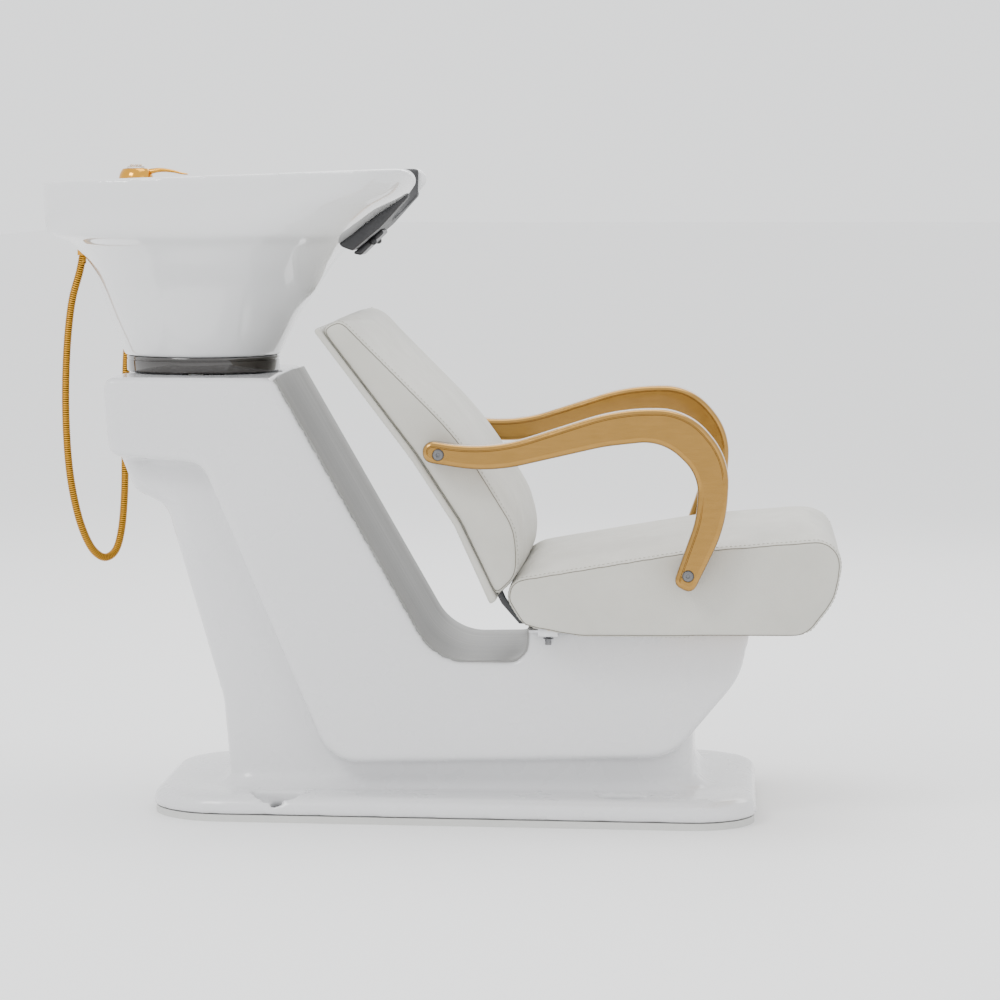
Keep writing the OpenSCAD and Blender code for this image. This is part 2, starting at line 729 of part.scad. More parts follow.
seat_outline = [
    [88, 350, 24], [82, 322, 18], [106, 283, 20], [180, 269, 120], [500, 270, 40], [542, 325, 80],
    [556, 412, 36], [345, 394, 300]
];
pan_t = 12;
cheek_y = [228, 246];
cheek_side = [
    [140, pan_z], [480, pan_z], [480, 360], [352, 374], [320, 374], [250, 338], [140, 318]
];
module seat_pan_form() {
    block([140, -cheek_y[1], pan_z], [500, cheek_y[1], pan_z + pan_t]);
    both_sides() across(cheek_y[0], cheek_y[1]) polygon(cheek_side);
}
arm_seat = [336, 361];
arm_back = [-9, 527];
screw_r = 4;
module screw_holes(r) {
    for (p = [arm_seat, arm_back]) both_sides() along_y(p[0], p[1], 200, 320, r);
}
module seat_frame() {
    color(ply) difference() {
        seat_pan_form();
        screw_holes(screw_r);
    }
}
module seat_cushion() {
    color(leather) difference() {
        union() {
            across(-seat_half_w, seat_half_w) polygon(rounded(seat_outline));
            across(-214, 214) polygon(rounded([
                [132, 330, 0], [500, 330, 0], [530, 428, 24], [345, 418, 300], [136, 378, 24]
            ]));
        }
        block([60, -cheek_y[1], 250], [500, cheek_y[1], pan_z + pan_t]);
        both_sides() across(cheek_y[0], cheek_y[1]) polygon(cheek_side);
        screw_holes(screw_r + 1);
    }
}

// ---- Backrest ----

back_outline = [
    [-150, 716, 18], [-186, 696, 10], [-50, 517, 300], [10, 425, 60], [62, 316, 8], [100, 355, 40],
    [98, 420, 90], [20, 546, 500]
];
panel_shift = [7, 4];
strip_line = [[-152, 674], [-40, 527], [24, 420]];
strip_t = [10, 8];
cheek_outline = [
    [-144, 690, 8], [-160, 680, 8], [-40, 522, 200], [22, 430, 40], [42, 394, 8], [72, 396, 12],
    [16, 528, 200]
];
module back_frame_form() {
    both_sides() across(cheek_y[0], cheek_y[1]) polygon(rounded(cheek_outline));
    across(-cheek_y[0], cheek_y[0]) polygon(concat(
        strip_line, [for (i = [2 : -1 : 0]) strip_line[i] + strip_t]
    ));
}
module back_frame() {
    color(ply) difference() {
        back_frame_form();
        screw_holes(screw_r);
    }
}
module back_panel() {
    color(leather) difference() {
        across(-seat_half_w, seat_half_w) difference() {
            polygon(rounded(back_outline));
            translate(panel_shift) polygon(rounded(back_outline));
        }
        both_sides() hinge_form(0.5);
    }
}
// The padding in front of the board and over its top edge
module padding_outline() {
    intersection() {
        polygon(rounded(back_outline));
        translate(panel_shift) polygon(rounded(back_outline));
        polygon(concat(
            [for (i = [2 : -1 : 0]) strip_line[i] + strip_t],
            [[-230, 682], [-230, 760], [200, 760], [200, 300], [44, 300]]
        ));
    }
}
module back_cushion() {
    color(leather) difference() {
        union() {
            across(-seat_half_w, seat_half_w) padding_outline();
            both_sides() across(cheek_y[1], seat_half_w) intersection() {
                polygon(rounded(back_outline));
                translate(panel_shift) polygon(rounded(back_outline));
            }
            across(-214, 214) polygon(rounded([
                [-132, 720, 6], [-118, 680, 0], [60, 440, 0], [104, 396, 0], [118, 424, 60], [42, 568, 500]
            ]));
        }
        both_sides() across(cheek_y[0] - 1, cheek_y[1] + 1) polygon(rounded(inset(cheek_outline, -1)));
        screw_holes(screw_r + 1);
        both_sides() hinge_form(0.5);
    }
}
module hinge_form(gap) {
    line = [
        [170, 275.4, 0], [170, 277.4, 0], [100, 277.4, 0], [76, 312, 0], [66, 334, 0], [36, 400, 0],
        [28, 396, 0], [56, 330, 0], [70, 304, 0], [95, 275.4, 0]
    ];
    across(140 - gap, 146 + gap) polygon([for (p = inset(line, -gap)) flat(p)]);
}
module hinge_left() {
    color(black) hinge_form(0);
}
module hinge_right() {
    color(black) mirror([0, 1, 0]) hinge_form(0);
}

// ---- Armrests ----

arm_in = seat_half_w + arm_gap;
arm_out = arm_in + arm_t;
arm_outline = [
    [342, 335, 12], [388, 430, 200], [393, 522, 100], [336, 591, 90], [240, 591, 300], [60, 533, 250],
    [-32, 548, 14], [-30, 517, 14], [60, 502, 250], [220, 539, 300], [300, 548, 70], [350, 500, 60],
    [347, 440, 150], [315, 349, 12]
];
washer_r = 8.5;
module armrest_form() {
    difference() {
        across(arm_in, arm_out) polygon(rounded(arm_outline));
        for (p = [arm_seat, arm_back]) {
            along_y(p[0], p[1], 200, 320, screw_r + 0.1);
            along_y(p[0], p[1], arm_out - 3, arm_out + 1, washer_r);
        }
    }
}
module armrest_left() {
    color(gold) armrest_form();
}
module armrest_right() {
    color(gold) mirror([0, 1, 0]) armrest_form();
}
module arm_spacers() {
    color(black) both_sides() for (p = [arm_seat, arm_back]) difference() {
        along_y(p[0], p[1], seat_half_w, arm_in, 12);
        along_y(p[0], p[1], seat_half_w - 1, arm_in + 1, screw_r + 0.1);
    }
}
module arm_screws() {
    color([0.2, 0.2, 0.2]) both_sides() for (p = [arm_seat, arm_back]) difference() {
        union() {
            along_y(p[0], p[1], cheek_y[0], arm_out - 3, screw_r);
            along_y(p[0], p[1], arm_out - 3, arm_out - 1.6, washer_r - 0.3);
            along_y(p[0], p[1], arm_out - 1.6, arm_out + 1, 7);
        }
        translate([p[0], arm_out + 2, p[1]]) rotate([90, 0, 0]) cylinder(r = 2.9, h = 4, $fn = 6);
    }
}

// ---- Slide lock under the seat's near side ----

foot_z = lock_bar_z - 5;
module lock_bracket() {
    color(steel) difference() {
        union() {
            block([lock_x - 14, lock_y - 15, foot_z], [lock_x + 14, lock_y - 11.5, pan_z]);
            block([lock_x - 14, lock_y - 11.5, foot_z], [lock_x + 14, lock_y + 8, foot_z + 3]);
        }
        translate([lock_x, lock_y, foot_z - 1]) cylinder(r = lock_pin_r + fit, h = 6);
    }
}
module lock_pin() {
    color([0.25, 0.25, 0.25]) translate([lock_x, lock_y, 0]) {
        translate([0, 0, foot_z - 13]) cylinder(r = 4.5, h = 8.5);
        translate([0, 0, foot_z - 4.5]) cylinder(r = 7.5, h = 1.4);
        translate([0, 0, foot_z - 3.1]) cylinder(r = lock_pin_r, h = 7.7);
    }
}

base_skirt();
base_plate();
floor_pads();
base_cover();
pedestal_shell();
front_liner();
support_frame();
head_plate();
bearing_block_left();
bearing_block_right();
tilt_bushes();
slide_rail_left();
slide_rail_right();
slide_buffers();
lock_bar();
access_cover();
access_screws();
service_bracket();
drain_pipe();
waste_cup();
inlet_hot();
inlet_cold();
basin();
collar();
tilt_plate();
tilt_pins();
waste_outlet();
strainer();
mixer_base();
mixer_nut();
mixer_dome();
mixer_cap();
mixer_lever();
handset_holder();
handset_body();
handset_rose();
neck_rest();
neck_rest_clip();
hose_nuts();
hose();
carriage();
glide_pads();
seat_frame();
seat_cushion();
back_frame();
back_cushion();
back_panel();
hinge_left();
hinge_right();
armrest_left();
armrest_right();
arm_spacers();
arm_screws();
lock_bracket();
lock_pin();
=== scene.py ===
"""Shampoo backwash unit: the visible pieces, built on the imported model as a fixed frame.

Outlines are in millimetres, in X and Z, and are turned into metres by MM. +X points to the
front of the seat, +Y to the sitter's left and +Z up, with the origin on the floor."""

import json
import math

import bmesh
import bpy
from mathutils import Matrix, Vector, geometry
from mathutils.bvhtree import BVHTree
from mathutils.kdtree import KDTree


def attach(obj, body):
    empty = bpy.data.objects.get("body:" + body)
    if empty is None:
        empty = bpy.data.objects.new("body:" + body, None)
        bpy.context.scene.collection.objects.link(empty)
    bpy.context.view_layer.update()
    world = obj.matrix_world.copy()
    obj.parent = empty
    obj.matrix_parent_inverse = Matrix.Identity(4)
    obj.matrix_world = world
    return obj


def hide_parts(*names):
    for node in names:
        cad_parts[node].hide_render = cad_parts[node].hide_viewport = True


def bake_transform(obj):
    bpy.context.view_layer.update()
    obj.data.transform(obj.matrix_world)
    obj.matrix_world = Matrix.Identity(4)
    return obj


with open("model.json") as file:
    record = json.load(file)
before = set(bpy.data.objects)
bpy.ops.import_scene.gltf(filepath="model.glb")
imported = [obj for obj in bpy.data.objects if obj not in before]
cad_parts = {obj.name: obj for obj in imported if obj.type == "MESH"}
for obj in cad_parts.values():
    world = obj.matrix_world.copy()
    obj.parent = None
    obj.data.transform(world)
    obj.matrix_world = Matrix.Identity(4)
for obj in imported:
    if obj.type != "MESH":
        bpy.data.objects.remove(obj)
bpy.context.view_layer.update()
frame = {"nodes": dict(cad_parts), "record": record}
nodes = frame["nodes"]
MM = 0.001
scene = bpy.context.scene


# ---- Camera, from the photograph's viewing angle ----

def make_camera():
    """The camera as far and as high as the photo's perspective says, turned a little to the left."""
    camera = bpy.data.objects.new("camera", bpy.data.cameras.new("camera"))
    scene.collection.objects.link(camera)
    camera.location = (0.391, -5.59, 0.929)
    yaw, pitch = math.radians(3.4), math.radians(5.0)
    look = Vector((-math.sin(yaw) * math.cos(pitch), math.cos(yaw) * math.cos(pitch), -math.sin(pitch)))
    camera.rotation_euler = look.to_track_quat("-Z", "Y").to_euler()
    camera.data.lens = 139
    camera.data.sensor_width = 36
    camera.data.clip_end = 60
    scene.camera = camera


make_camera()


# ---- Outlines ----

def corner(before, at, after, radius, steps):
    u, v = (before - at).normalized(), (after - at).normalized()
    half = u.angle(v) / 2
    centre = at + (u + v).normalized() * radius / math.sin(half)
    start = at + u * radius / math.tan(half) - centre
    end = at + v * radius / math.tan(half) - centre
    a0, a1 = math.atan2(start.y, start.x), math.atan2(end.y, end.x)
    turn = (a1 - a0 + math.pi) % (2 * math.pi) - math.pi
    return [
        centre + radius * Vector((math.cos(a0 + turn * i / steps), math.sin(a0 + turn * i / steps)))
        for i in range(steps + 1)
    ]


def rounded(points, steps=8):
    """The points of an outline whose corners (x, z, radius) are drawn as arcs."""
    n = len(points)
    line = []
    for i in range(n):
        before, at, after = (Vector(points[(i + k) % n][:2]) for k in (-1, 0, 1))
        line += corner(before, at, after, points[i][2], steps) if points[i][2] > 0 else [at]
    return line


def inset(points, d):
    """The corners moved inside by d, for an outline that runs counter-clockwise."""
    n = len(points)
    moved = []
    for i in range(n):
        a, b, c = (Vector(points[(i + k) % n][:2]) for k in (-1, 0, 1))
        u, v = (b - a).normalized(), (c - b).normalized()
        n1, n2 = Vector((-u.y, u.x)), Vector((-v.y, v.x))
        q = b + (n1 + n2) * d / (1 + n1.dot(n2))
        bend = n1.dot(v)
        moved.append((q.x, q.y, max(0.3, points[i][2] - (d if bend > 0 else -d))))
    return moved


def resample(line, step, closed=True):
    """The line with its points a step apart."""
    line = [Vector(p) for p in line] + ([Vector(line[0])] if closed else [])
    lengths = [0]
    for a, b in zip(line, line[1:]):
        lengths.append(lengths[-1] + (b - a).length)
    count = max(3, round(lengths[-1] / step))
    out, k = [], 0
    for i in range(count if closed else count + 1):
        want = lengths[-1] * i / count
        while k < len(line) - 2 and lengths[k + 1] < want:
            k += 1
        span = lengths[k + 1] - lengths[k] or 1
        out.append(line[k].lerp(line[k + 1], (want - lengths[k]) / span))
    return out


def spline(points, parts):
    """A smooth line through the points, with that many parts between two of them."""
    p = [Vector(q) for q in points]
    line = []
    for i in range(len(p) - 1):
        a, b, c, d = p[max(0, i - 1)], p[i], p[i + 1], p[min(len(p) - 1, i + 2)]
        for j in range(parts):
            t = j / parts
            line.append(0.5 * (2 * b + (c - a) * t + (2 * a - 5 * b + 4 * c - d) * t * t
                               + (3 * b - a - 3 * c + d) * t * t * t))
    return line + [p[-1]]


# ---- Meshes ----

def piece(name, verts, faces, unit=MM):
    mesh = bpy.data.meshes.new(name)
    mesh.from_pydata([Vector(v) * unit for v in verts], [], faces)
    bm = bmesh.new()
    bm.from_mesh(mesh)
    bmesh.ops.recalc_face_normals(bm, faces=bm.faces)
    bm.to_mesh(mesh)
    bm.free()
    obj = bpy.data.objects.new(name, mesh)
    scene.collection.objects.link(obj)
    return obj


def loft(name, rings, closed=False, unit=MM):
    """A skin through rings of equal length, with flat ends, or joined end to end when closed."""
    n, m = len(rings[0]), len(rings)
    verts = [p for ring in rings for p in ring]
    faces = [
        (j * n + i, j * n + (i + 1) % n, (j + 1) % m * n + (i + 1) % n, (j + 1) % m * n + i)
        for j in range(m if closed else m - 1) for i in range(n)
    ]
    if not closed:
        for base in (0, (m - 1) * n):
            flat = [[Vector(verts[base + i]) for i in range(n)]]
            faces += [tuple(base + k for k in t) for t in geometry.tessellate_polygon(flat)]
    return piece(name, verts, faces, unit)


def upright(line, y):
    return [(p[0], y, p[1]) for p in line]


def soft_prism(name, corners, half, edge, steps=8, edge_steps=5):
    """A prism from -half to half along Y, whose edges at its two ends are rounded by edge."""
    rings = []
    for i in range(edge_steps + 1):
        a = math.pi / 2 * i / edge_steps
        rings.append((edge * (1 - math.sin(a)), half - edge * (1 - math.cos(a))))
    lines = [(rounded(inset(corners, d) if d > 0.01 else corners, steps), y) for d, y in rings]
    near = [upright(line, -y) for line, y in lines]
    far = [upright(line, y) for line, y in lines[::-1]]
    return loft(name, near + far)


def block(name, low, high):
    x, y, z = zip(low, high)
    verts = [(x[i], y[j], z[k]) for i in (0, 1) for j in (0, 1) for k in (0, 1)]
    faces = [(0, 1, 3, 2), (4, 6, 7, 5), (0, 4, 5, 1), (2, 3, 7, 6), (0, 2, 6, 4), (1, 5, 7, 3)]
    return piece(name, verts, faces)


def lathe(name, profile, at, sides=64):
    """A turned shape about the upright line at (x, y): profile is a list of (radius, z)."""
    rings = [
        [(at[0] + r * math.cos(2 * math.pi * i / sides), at[1] + r * math.sin(2 * math.pi * i / sides), z)
         for i in range(sides)]
        for r, z in profile
    ]
    return loft(name, rings)


def hole(name, at, radius, z0, z1, sides):
    """An upright round bar at (x, y), to cut with."""
    return lathe(name, [(radius, z0), (radius, z1)], at, sides)


def bar_x(name, x0, x1, y, z, r, sides=96):
    """A round bar along X."""
    ring = [(y + r * math.cos(2 * math.pi * i / sides), z + r * math.sin(2 * math.pi * i / sides))
            for i in range(sides)]
    return loft(name, [[(x, p[0], p[1]) for p in ring] for x in (x0, x1)])


def settle(obj):
    """Applies what obj's modifiers do."""
    graph = bpy.context.evaluated_depsgraph_get()
    mesh = bpy.data.meshes.new_from_object(obj.evaluated_get(graph))
    obj.modifiers.clear()
    obj.data = mesh
    return obj


def cut(obj, *tools, operation="DIFFERENCE"):
    for tool in tools:
        change = obj.modifiers.new("cut", "BOOLEAN")
        change.operation = operation
        change.solver = "EXACT"
        change.object = tool
        settle(obj)
        bpy.data.objects.remove(tool)
    return obj


def gather(obj, *parts):
    """Adds the parts' meshes to obj's."""
    bm = bmesh.new()
    for o in (obj, *parts):
        bm.from_mesh(o.data)
    bm.to_mesh(obj.data)
    bm.free()
    for o in parts:
        bpy.data.objects.remove(o)
    return obj


def shade_smooth(obj, angle=None):
    obj.data.shade_smooth()
    if angle is not None:
        obj.data.set_sharp_from_angle(angle=math.radians(angle))
    return obj


def skin(obj, voxel, passes, factor=0.5):
    """One even closed surface around obj's shapes, with its edges softened."""
    change = obj.modifiers.new("skin", "REMESH")
    change.mode = "VOXEL"
    change.voxel_size = voxel * MM
    settle(obj)
    if passes:
        change = obj.modifiers.new("soften", "SMOOTH")
        change.factor = factor
        change.iterations = passes
        settle(obj)
    return shade_smooth(obj)


def copy_of(node, name):
    obj = bpy.data.objects.new(name, nodes[node].data.copy())
    scene.collection.objects.link(obj)
    return obj


def finish_piece(obj, body, node_names=(), material=None):
    if material is not None:
        obj.data.materials.clear()
        obj.data.materials.append(material)
    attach(obj, body)
    if node_names:
        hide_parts(*node_names)
    return obj


# ---- Materials ----

class Shade:
    """A material on one Principled shader, with short calls for its procedural parts."""

    def __init__(self, name, color, rough, metal=0.0, coat=0.0, coat_rough=0.05):
        self.material = bpy.data.materials.new(name)
        self.material.use_nodes = True
        self.tree = self.material.node_tree
        self.surface = self.tree.nodes["Principled BSDF"]
        self.set("Base Color", (*color, 1))
        self.set("Roughness", rough)
        self.set("Metallic", metal)
        self.set("Coat Weight", coat)
        self.set("Coat Roughness", coat_rough)
        self.material.diffuse_color = (*color, 1)
        self.where = self.node("ShaderNodeTexCoord").outputs["Object"]

    def set(self, socket, value):
        self.surface.inputs[socket].default_value = value

    def node(self, kind, **values):
        made = self.tree.nodes.new(kind)
        for key, value in values.items():
            setattr(made, key, value)
        return made

    def link(self, a, b):
        self.tree.links.new(a, b)

    def scaled(self, scale):
        mapping = self.node("ShaderNodeMapping")
        mapping.inputs["Scale"].default_value = scale
        self.link(self.where, mapping.inputs["Vector"])
        return mapping.outputs["Vector"]

    def noise(self, scale, detail=3, rough=0.5, vector=None):
        made = self.node("ShaderNodeTexNoise")
        made.inputs["Scale"].default_value = scale
        made.inputs["Detail"].default_value = detail
        made.inputs["Roughness"].default_value = rough
        self.link(vector or self.where, made.inputs["Vector"])
        return made.outputs["Fac"]

    def cells(self, scale, feature="F1", vector=None):
        made = self.node("ShaderNodeTexVoronoi", feature=feature)
        made.inputs["Scale"].default_value = scale
        self.link(vector or self.where, made.inputs["Vector"])
        return made.outputs["Distance"]

    def between(self, value, low, high, to_low=0.0, to_high=1.0):
        made = self.node("ShaderNodeMapRange")
        made.inputs["From Min"].default_value = low
        made.inputs["From Max"].default_value = high
        made.inputs["To Min"].default_value = to_low
        made.inputs["To Max"].default_value = to_high
        self.link(value, made.inputs["Value"])
        return made.outputs["Result"]

    def math(self, operation, a, b):
        made = self.node("ShaderNodeMath", operation=operation)
        for socket, value in zip(made.inputs, (a, b)):
            if isinstance(value, (int, float)):
                socket.default_value = value
            else:
                self.link(value, socket)
        return made.outputs["Value"]

    def colors(self, value, dark, light):
        made = self.node("ShaderNodeMix", data_type="RGBA")
        self.link(value, made.inputs["Factor"])
        made.inputs["A"].default_value = (*dark, 1)
        made.inputs["B"].default_value = (*light, 1)
        self.link(made.outputs["Result"], self.surface.inputs["Base Color"])
        return self

    def roughness(self, value, low, high):
        self.link(self.between(value, 0.3, 0.7, low, high), self.surface.inputs["Roughness"])
        return self

    def bump(self, value, height, strength=0.5):
        made = self.node("ShaderNodeBump")
        made.inputs["Strength"].default_value = strength
        made.inputs["Distance"].default_value = height
        self.link(value, made.inputs["Height"])
        if self.surface.inputs["Normal"].is_linked:
            self.link(self.surface.inputs["Normal"].links[0].from_socket, made.inputs["Normal"])
        self.link(made.outputs["Normal"], self.surface.inputs["Normal"])
        return self


def gelcoat():
    s = Shade("gelcoat", (0.84, 0.84, 0.845), 0.26, coat=0.7, coat_rough=0.12)
    s.colors(s.noise(3), (0.64, 0.64, 0.65), (0.68, 0.68, 0.69))
    s.roughness(s.noise(14, 4), 0.22, 0.34)
    return s.bump(s.noise(60, 2), 0.0005, 0.12).material


def glaze():
    s = Shade("glaze", (0.86, 0.865, 0.87), 0.08, coat=1.0, coat_rough=0.03)
    s.colors(s.noise(4), (0.68, 0.685, 0.69), (0.71, 0.715, 0.72))
    s.roughness(s.noise(9), 0.06, 0.12)
    return s.bump(s.noise(35, 1), 0.0006, 0.1).material


def satin_strip():
    s = Shade("satin_strip", (0.55, 0.55, 0.53), 0.5)
    s.colors(s.noise(12, 4), (0.52, 0.52, 0.50), (0.58, 0.58, 0.56))
    return s.bump(s.noise(700, 2), 0.0002, 0.3).material


def brushed_laminate():
    s = Shade("brushed_laminate", (0.36, 0.36, 0.35), 0.42, metal=0.25)
    streaks = s.noise(1, 5, 0.65, s.scaled((2.5, 260, 2.5)))
    fine = s.noise(1, 3, 0.6, s.scaled((8, 900, 8)))
    mixed = s.math("ADD", s.math("MULTIPLY", streaks, 0.65), s.math("MULTIPLY", fine, 0.35))
    s.colors(s.between(mixed, 0.38, 0.62), (0.20, 0.198, 0.19), (0.40, 0.396, 0.385))
    s.roughness(mixed, 0.34, 0.52)
    return s.bump(mixed, 0.0004, 0.35).material


def leather():
    s = Shade("leather", (0.74, 0.725, 0.67), 0.48)
    s.set("Sheen Weight", 0.12)
    s.set("Sheen Roughness", 0.4)
    s.set("Specular IOR Level", 0.42)
    broad = s.noise(9, 4, 0.55)
    s.colors(s.between(broad, 0.3, 0.7), (0.47, 0.46, 0.415), (0.53, 0.52, 0.475))
    s.roughness(s.noise(40, 3), 0.42, 0.56)
    grain = s.between(s.cells(750, "SMOOTH_F1"), 0.05, 0.75)
    s.bump(grain, 0.00035, 0.42)
    s.bump(s.noise(160, 3, 0.55), 0.0007, 0.18)
    return s.bump(s.noise(7, 2), 0.006, 0.08).material


def seam_shade_leather():
    # Painted shade: the piping is coloured dark brown to stand for the shade in the seam's crease of the
    # ivory leather.
    s = Shade("seam_shade_leather", (0.30, 0.285, 0.24), 0.6)
    s.colors(s.noise(90), (0.13, 0.12, 0.095), (0.20, 0.185, 0.15))
    return s.bump(s.noise(600), 0.0003, 0.4).material


def thread():
    s = Shade("thread", (0.60, 0.58, 0.52), 0.6)
    s.colors(s.noise(1500), (0.30, 0.285, 0.24), (0.42, 0.40, 0.35))
    return s.bump(s.noise(2500), 0.0002, 0.5).material


def polished_gold():
    s = Shade("polished_gold", (0.80, 0.50, 0.15), 0.14, metal=1.0)
    s.colors(s.noise(20, 3), (0.58, 0.27, 0.025), (0.68, 0.34, 0.045))
    s.roughness(s.noise(120, 4), 0.09, 0.22)
    return s.bump(s.noise(90, 2), 0.0003, 0.12).material


def champagne_gold():
    s = Shade("champagne_gold", (0.36, 0.195, 0.045), 0.2, metal=1.0, coat=0.3, coat_rough=0.06)
    grain = s.noise(1, 4, 0.6, s.scaled((30, 160, 160)))
    s.colors(s.between(grain, 0.3, 0.7), (0.33, 0.18, 0.04), (0.375, 0.205, 0.048))
    s.roughness(s.noise(50, 3), 0.17, 0.24)
    return s.bump(s.noise(500, 2), 0.00015, 0.25).material


def ribbed_gold():
    s = Shade("ribbed_gold", (0.78, 0.47, 0.12), 0.22, metal=1.0)
    rib_height_and_shade = s.node("ShaderNodeAttribute", attribute_name="rib_height_and_shade").outputs["Fac"]
    # Painted shade: the grooves between the ribs are coloured almost black and the crests bright gold,
    # standing in for the shade in the grooves.
    s.colors(s.between(rib_height_and_shade, 0.2, 0.85), (0.06, 0.024, 0.004), (0.66, 0.32, 0.03))
    s.link(s.between(rib_height_and_shade, 0, 1, 0.5, 0.17), s.surface.inputs["Roughness"])
    return s.bump(s.noise(800), 0.0002, 0.3).material


def powder_coat():
    s = Shade("powder_coat", (0.035, 0.035, 0.038), 0.42)
    s.colors(s.noise(30), (0.028, 0.028, 0.03), (0.045, 0.045, 0.048))
    return s.bump(s.noise(1400, 2), 0.0003, 0.4).material


def zinc():
    s = Shade("zinc", (0.60, 0.60, 0.61), 0.3, metal=1.0)
    s.colors(s.cells(90), (0.55, 0.55, 0.56), (0.68, 0.68, 0.70))
    s.roughness(s.noise(60, 3), 0.24, 0.42)
    return s.bump(s.noise(700), 0.0002, 0.2).material


def chrome():
    s = Shade("chrome", (0.80, 0.80, 0.81), 0.07, metal=1.0)
    s.colors(s.noise(15), (0.78, 0.78, 0.79), (0.83, 0.83, 0.84))
    return s.roughness(s.noise(150, 3), 0.05, 0.14).material


def rubber():
    s = Shade("rubber", (0.022, 0.022, 0.024), 0.5)
    s.colors(s.noise(25, 3), (0.016, 0.016, 0.018), (0.032, 0.032, 0.034))
    s.roughness(s.noise(80), 0.42, 0.6)
    return s.bump(s.cells(900), 0.0003, 0.35).material


def gloss_black():
    s = Shade("gloss_black", (0.016, 0.013, 0.011), 0.07, coat=1.0, coat_rough=0.03)
    s.colors(s.noise(20), (0.012, 0.010, 0.009), (0.03, 0.024, 0.02))
    return s.roughness(s.noise(40), 0.05, 0.12).material


def satin_black():
    s = Shade("satin_black", (0.025, 0.025, 0.027), 0.36)
    s.colors(s.noise(60), (0.018, 0.018, 0.02), (0.035, 0.035, 0.037))
    return s.bump(s.noise(900), 0.0002, 0.3).material


def pale_plastic():
    s = Shade("pale_plastic", (0.80, 0.79, 0.72), 0.4)
    s.colors(s.noise(40), (0.77, 0.76, 0.69), (0.83, 0.82, 0.75))
    return s.bump(s.noise(500), 0.0002, 0.3).material


def grey_pipe():
    s = Shade("grey_pipe", (0.36, 0.37, 0.38), 0.4)
    s.colors(s.noise(25), (0.33, 0.34, 0.35), (0.39, 0.40, 0.41))
    return s.bump(s.noise(300), 0.0002, 0.3).material


def plywood():
    s = Shade("plywood", (0.62, 0.47, 0.30), 0.55)
    layers = s.noise(1, 4, 0.6, s.scaled((12, 220, 40)))
    s.colors(s.between(layers, 0.3, 0.7), (0.50, 0.36, 0.21), (0.70, 0.56, 0.38))
    return s.bump(layers, 0.0005, 0.3).material


def dark_nickel():
    s = Shade("dark_nickel", (0.16, 0.16, 0.165), 0.3, metal=1.0)
    s.colors(s.noise(80), (0.13, 0.13, 0.135), (0.20, 0.20, 0.205))
    s.roughness(s.noise(200), 0.22, 0.38)
    return s.bump(s.noise(1200), 0.0001, 0.2).material


def crystal():
    s = Shade("crystal", (0.93, 0.96, 0.99), 0.03)
    s.set("Transmission Weight", 0.9)
    s.set("IOR", 1.5)
    s.colors(s.noise(40), (0.90, 0.94, 0.98), (0.96, 0.98, 1.0))
    return s.bump(s.cells(260), 0.0006, 0.3).material


MATERIALS = {
    "pedestal": gelcoat(), "skirt": satin_strip(), "liner": brushed_laminate(), "ceramic": glaze(),
    "steel": powder_coat(), "bright_steel": zinc(), "chrome": chrome(), "gold": polished_gold(),
    "arm_gold": champagne_gold(), "hose": ribbed_gold(), "rubber": rubber(), "collar": gloss_black(),
    "black_plastic": satin_black(), "pale_plastic": pale_plastic(), "grey_pipe": grey_pipe(),
    "leather": leather(), "ply": plywood(), "dark_metal": dark_nickel(), "crystal": crystal(),
}
# The piping's material, dark as painted shade of the seams.
SEAM_SHADE = seam_shade_leather()
THREAD = thread()
SLOTS = {part["node"]: part["material_slot"] for part in frame["record"]["subparts"]}


def dress_nodes():
    for name, node in nodes.items():
        node.data.materials.clear()
        node.data.materials.append(MATERIALS[SLOTS[name]])


dress_nodes()


def body_of_node(name):
    for body, members in frame["record"]["behaviour"]["bodies"].items():
        if name in members:
            return body


def from_node(node, obj, slot=None):
    """obj takes the CAD node's place, body and finish."""
    slot = slot or SLOTS[node]
    return finish_piece(obj, body_of_node(node), [node], MATERIALS[slot])


def bevelled(node, width, segments=3, angle=30):
    """The CAD node's own shape with its sharp edges broken."""
    obj = copy_of(node, node + "_finished")
    bm = bmesh.new()
    bm.from_mesh(obj.data)
    bmesh.ops.remove_doubles(bm, verts=bm.verts, dist=1e-6)
    bmesh.ops.dissolve_limit(bm, angle_limit=math.radians(0.5), verts=bm.verts, edges=bm.edges)
    bm.to_mesh(obj.data)
    bm.free()
    change = obj.modifiers.new("edges", "BEVEL")
    change.width = width * MM
    change.segments = segments
    change.limit_method = "ANGLE"
    change.angle_limit = math.radians(angle)
    settle(obj)
    shade_smooth(obj, 35)
    return from_node(node, obj)


def softened(node, voxel, passes):
    """The CAD node's own shape with its edges melted, as on a moulded or cast piece."""
    return from_node(node, skin(copy_of(node, node + "_moulded"), voxel, passes))


# ---- Hose: settled first, with the camera ----

HOSE_ROUTE = [
    (-550, 0, 794), (-555, 0, 770), (-566, 0, 730), (-573, 1, 680), (-577, 2, 620), (-578, 4, 560),
    (-576, 8, 500), (-571, 14, 450), (-562, 24, 402), (-550, 38, 366), (-538, 52, 349), (-527, 66, 346),
    (-517, 80, 357), (-511, 92, 386), (-508, 100, 430), (-507, 104, 480), (-507, 106, 540),
    (-506, 108, 600), (-503, 110, 660), (-495, 110, 706), (-488, 110, 736),
]
HOSE_D = 12
HOSE_SIDES = 14
RIB_PITCH = 3.2
RIB_DEPTH = 0.9
RIB_STEPS = 4


def line_length(line):
    return sum((b - a).length for a, b in zip(line, line[1:]))


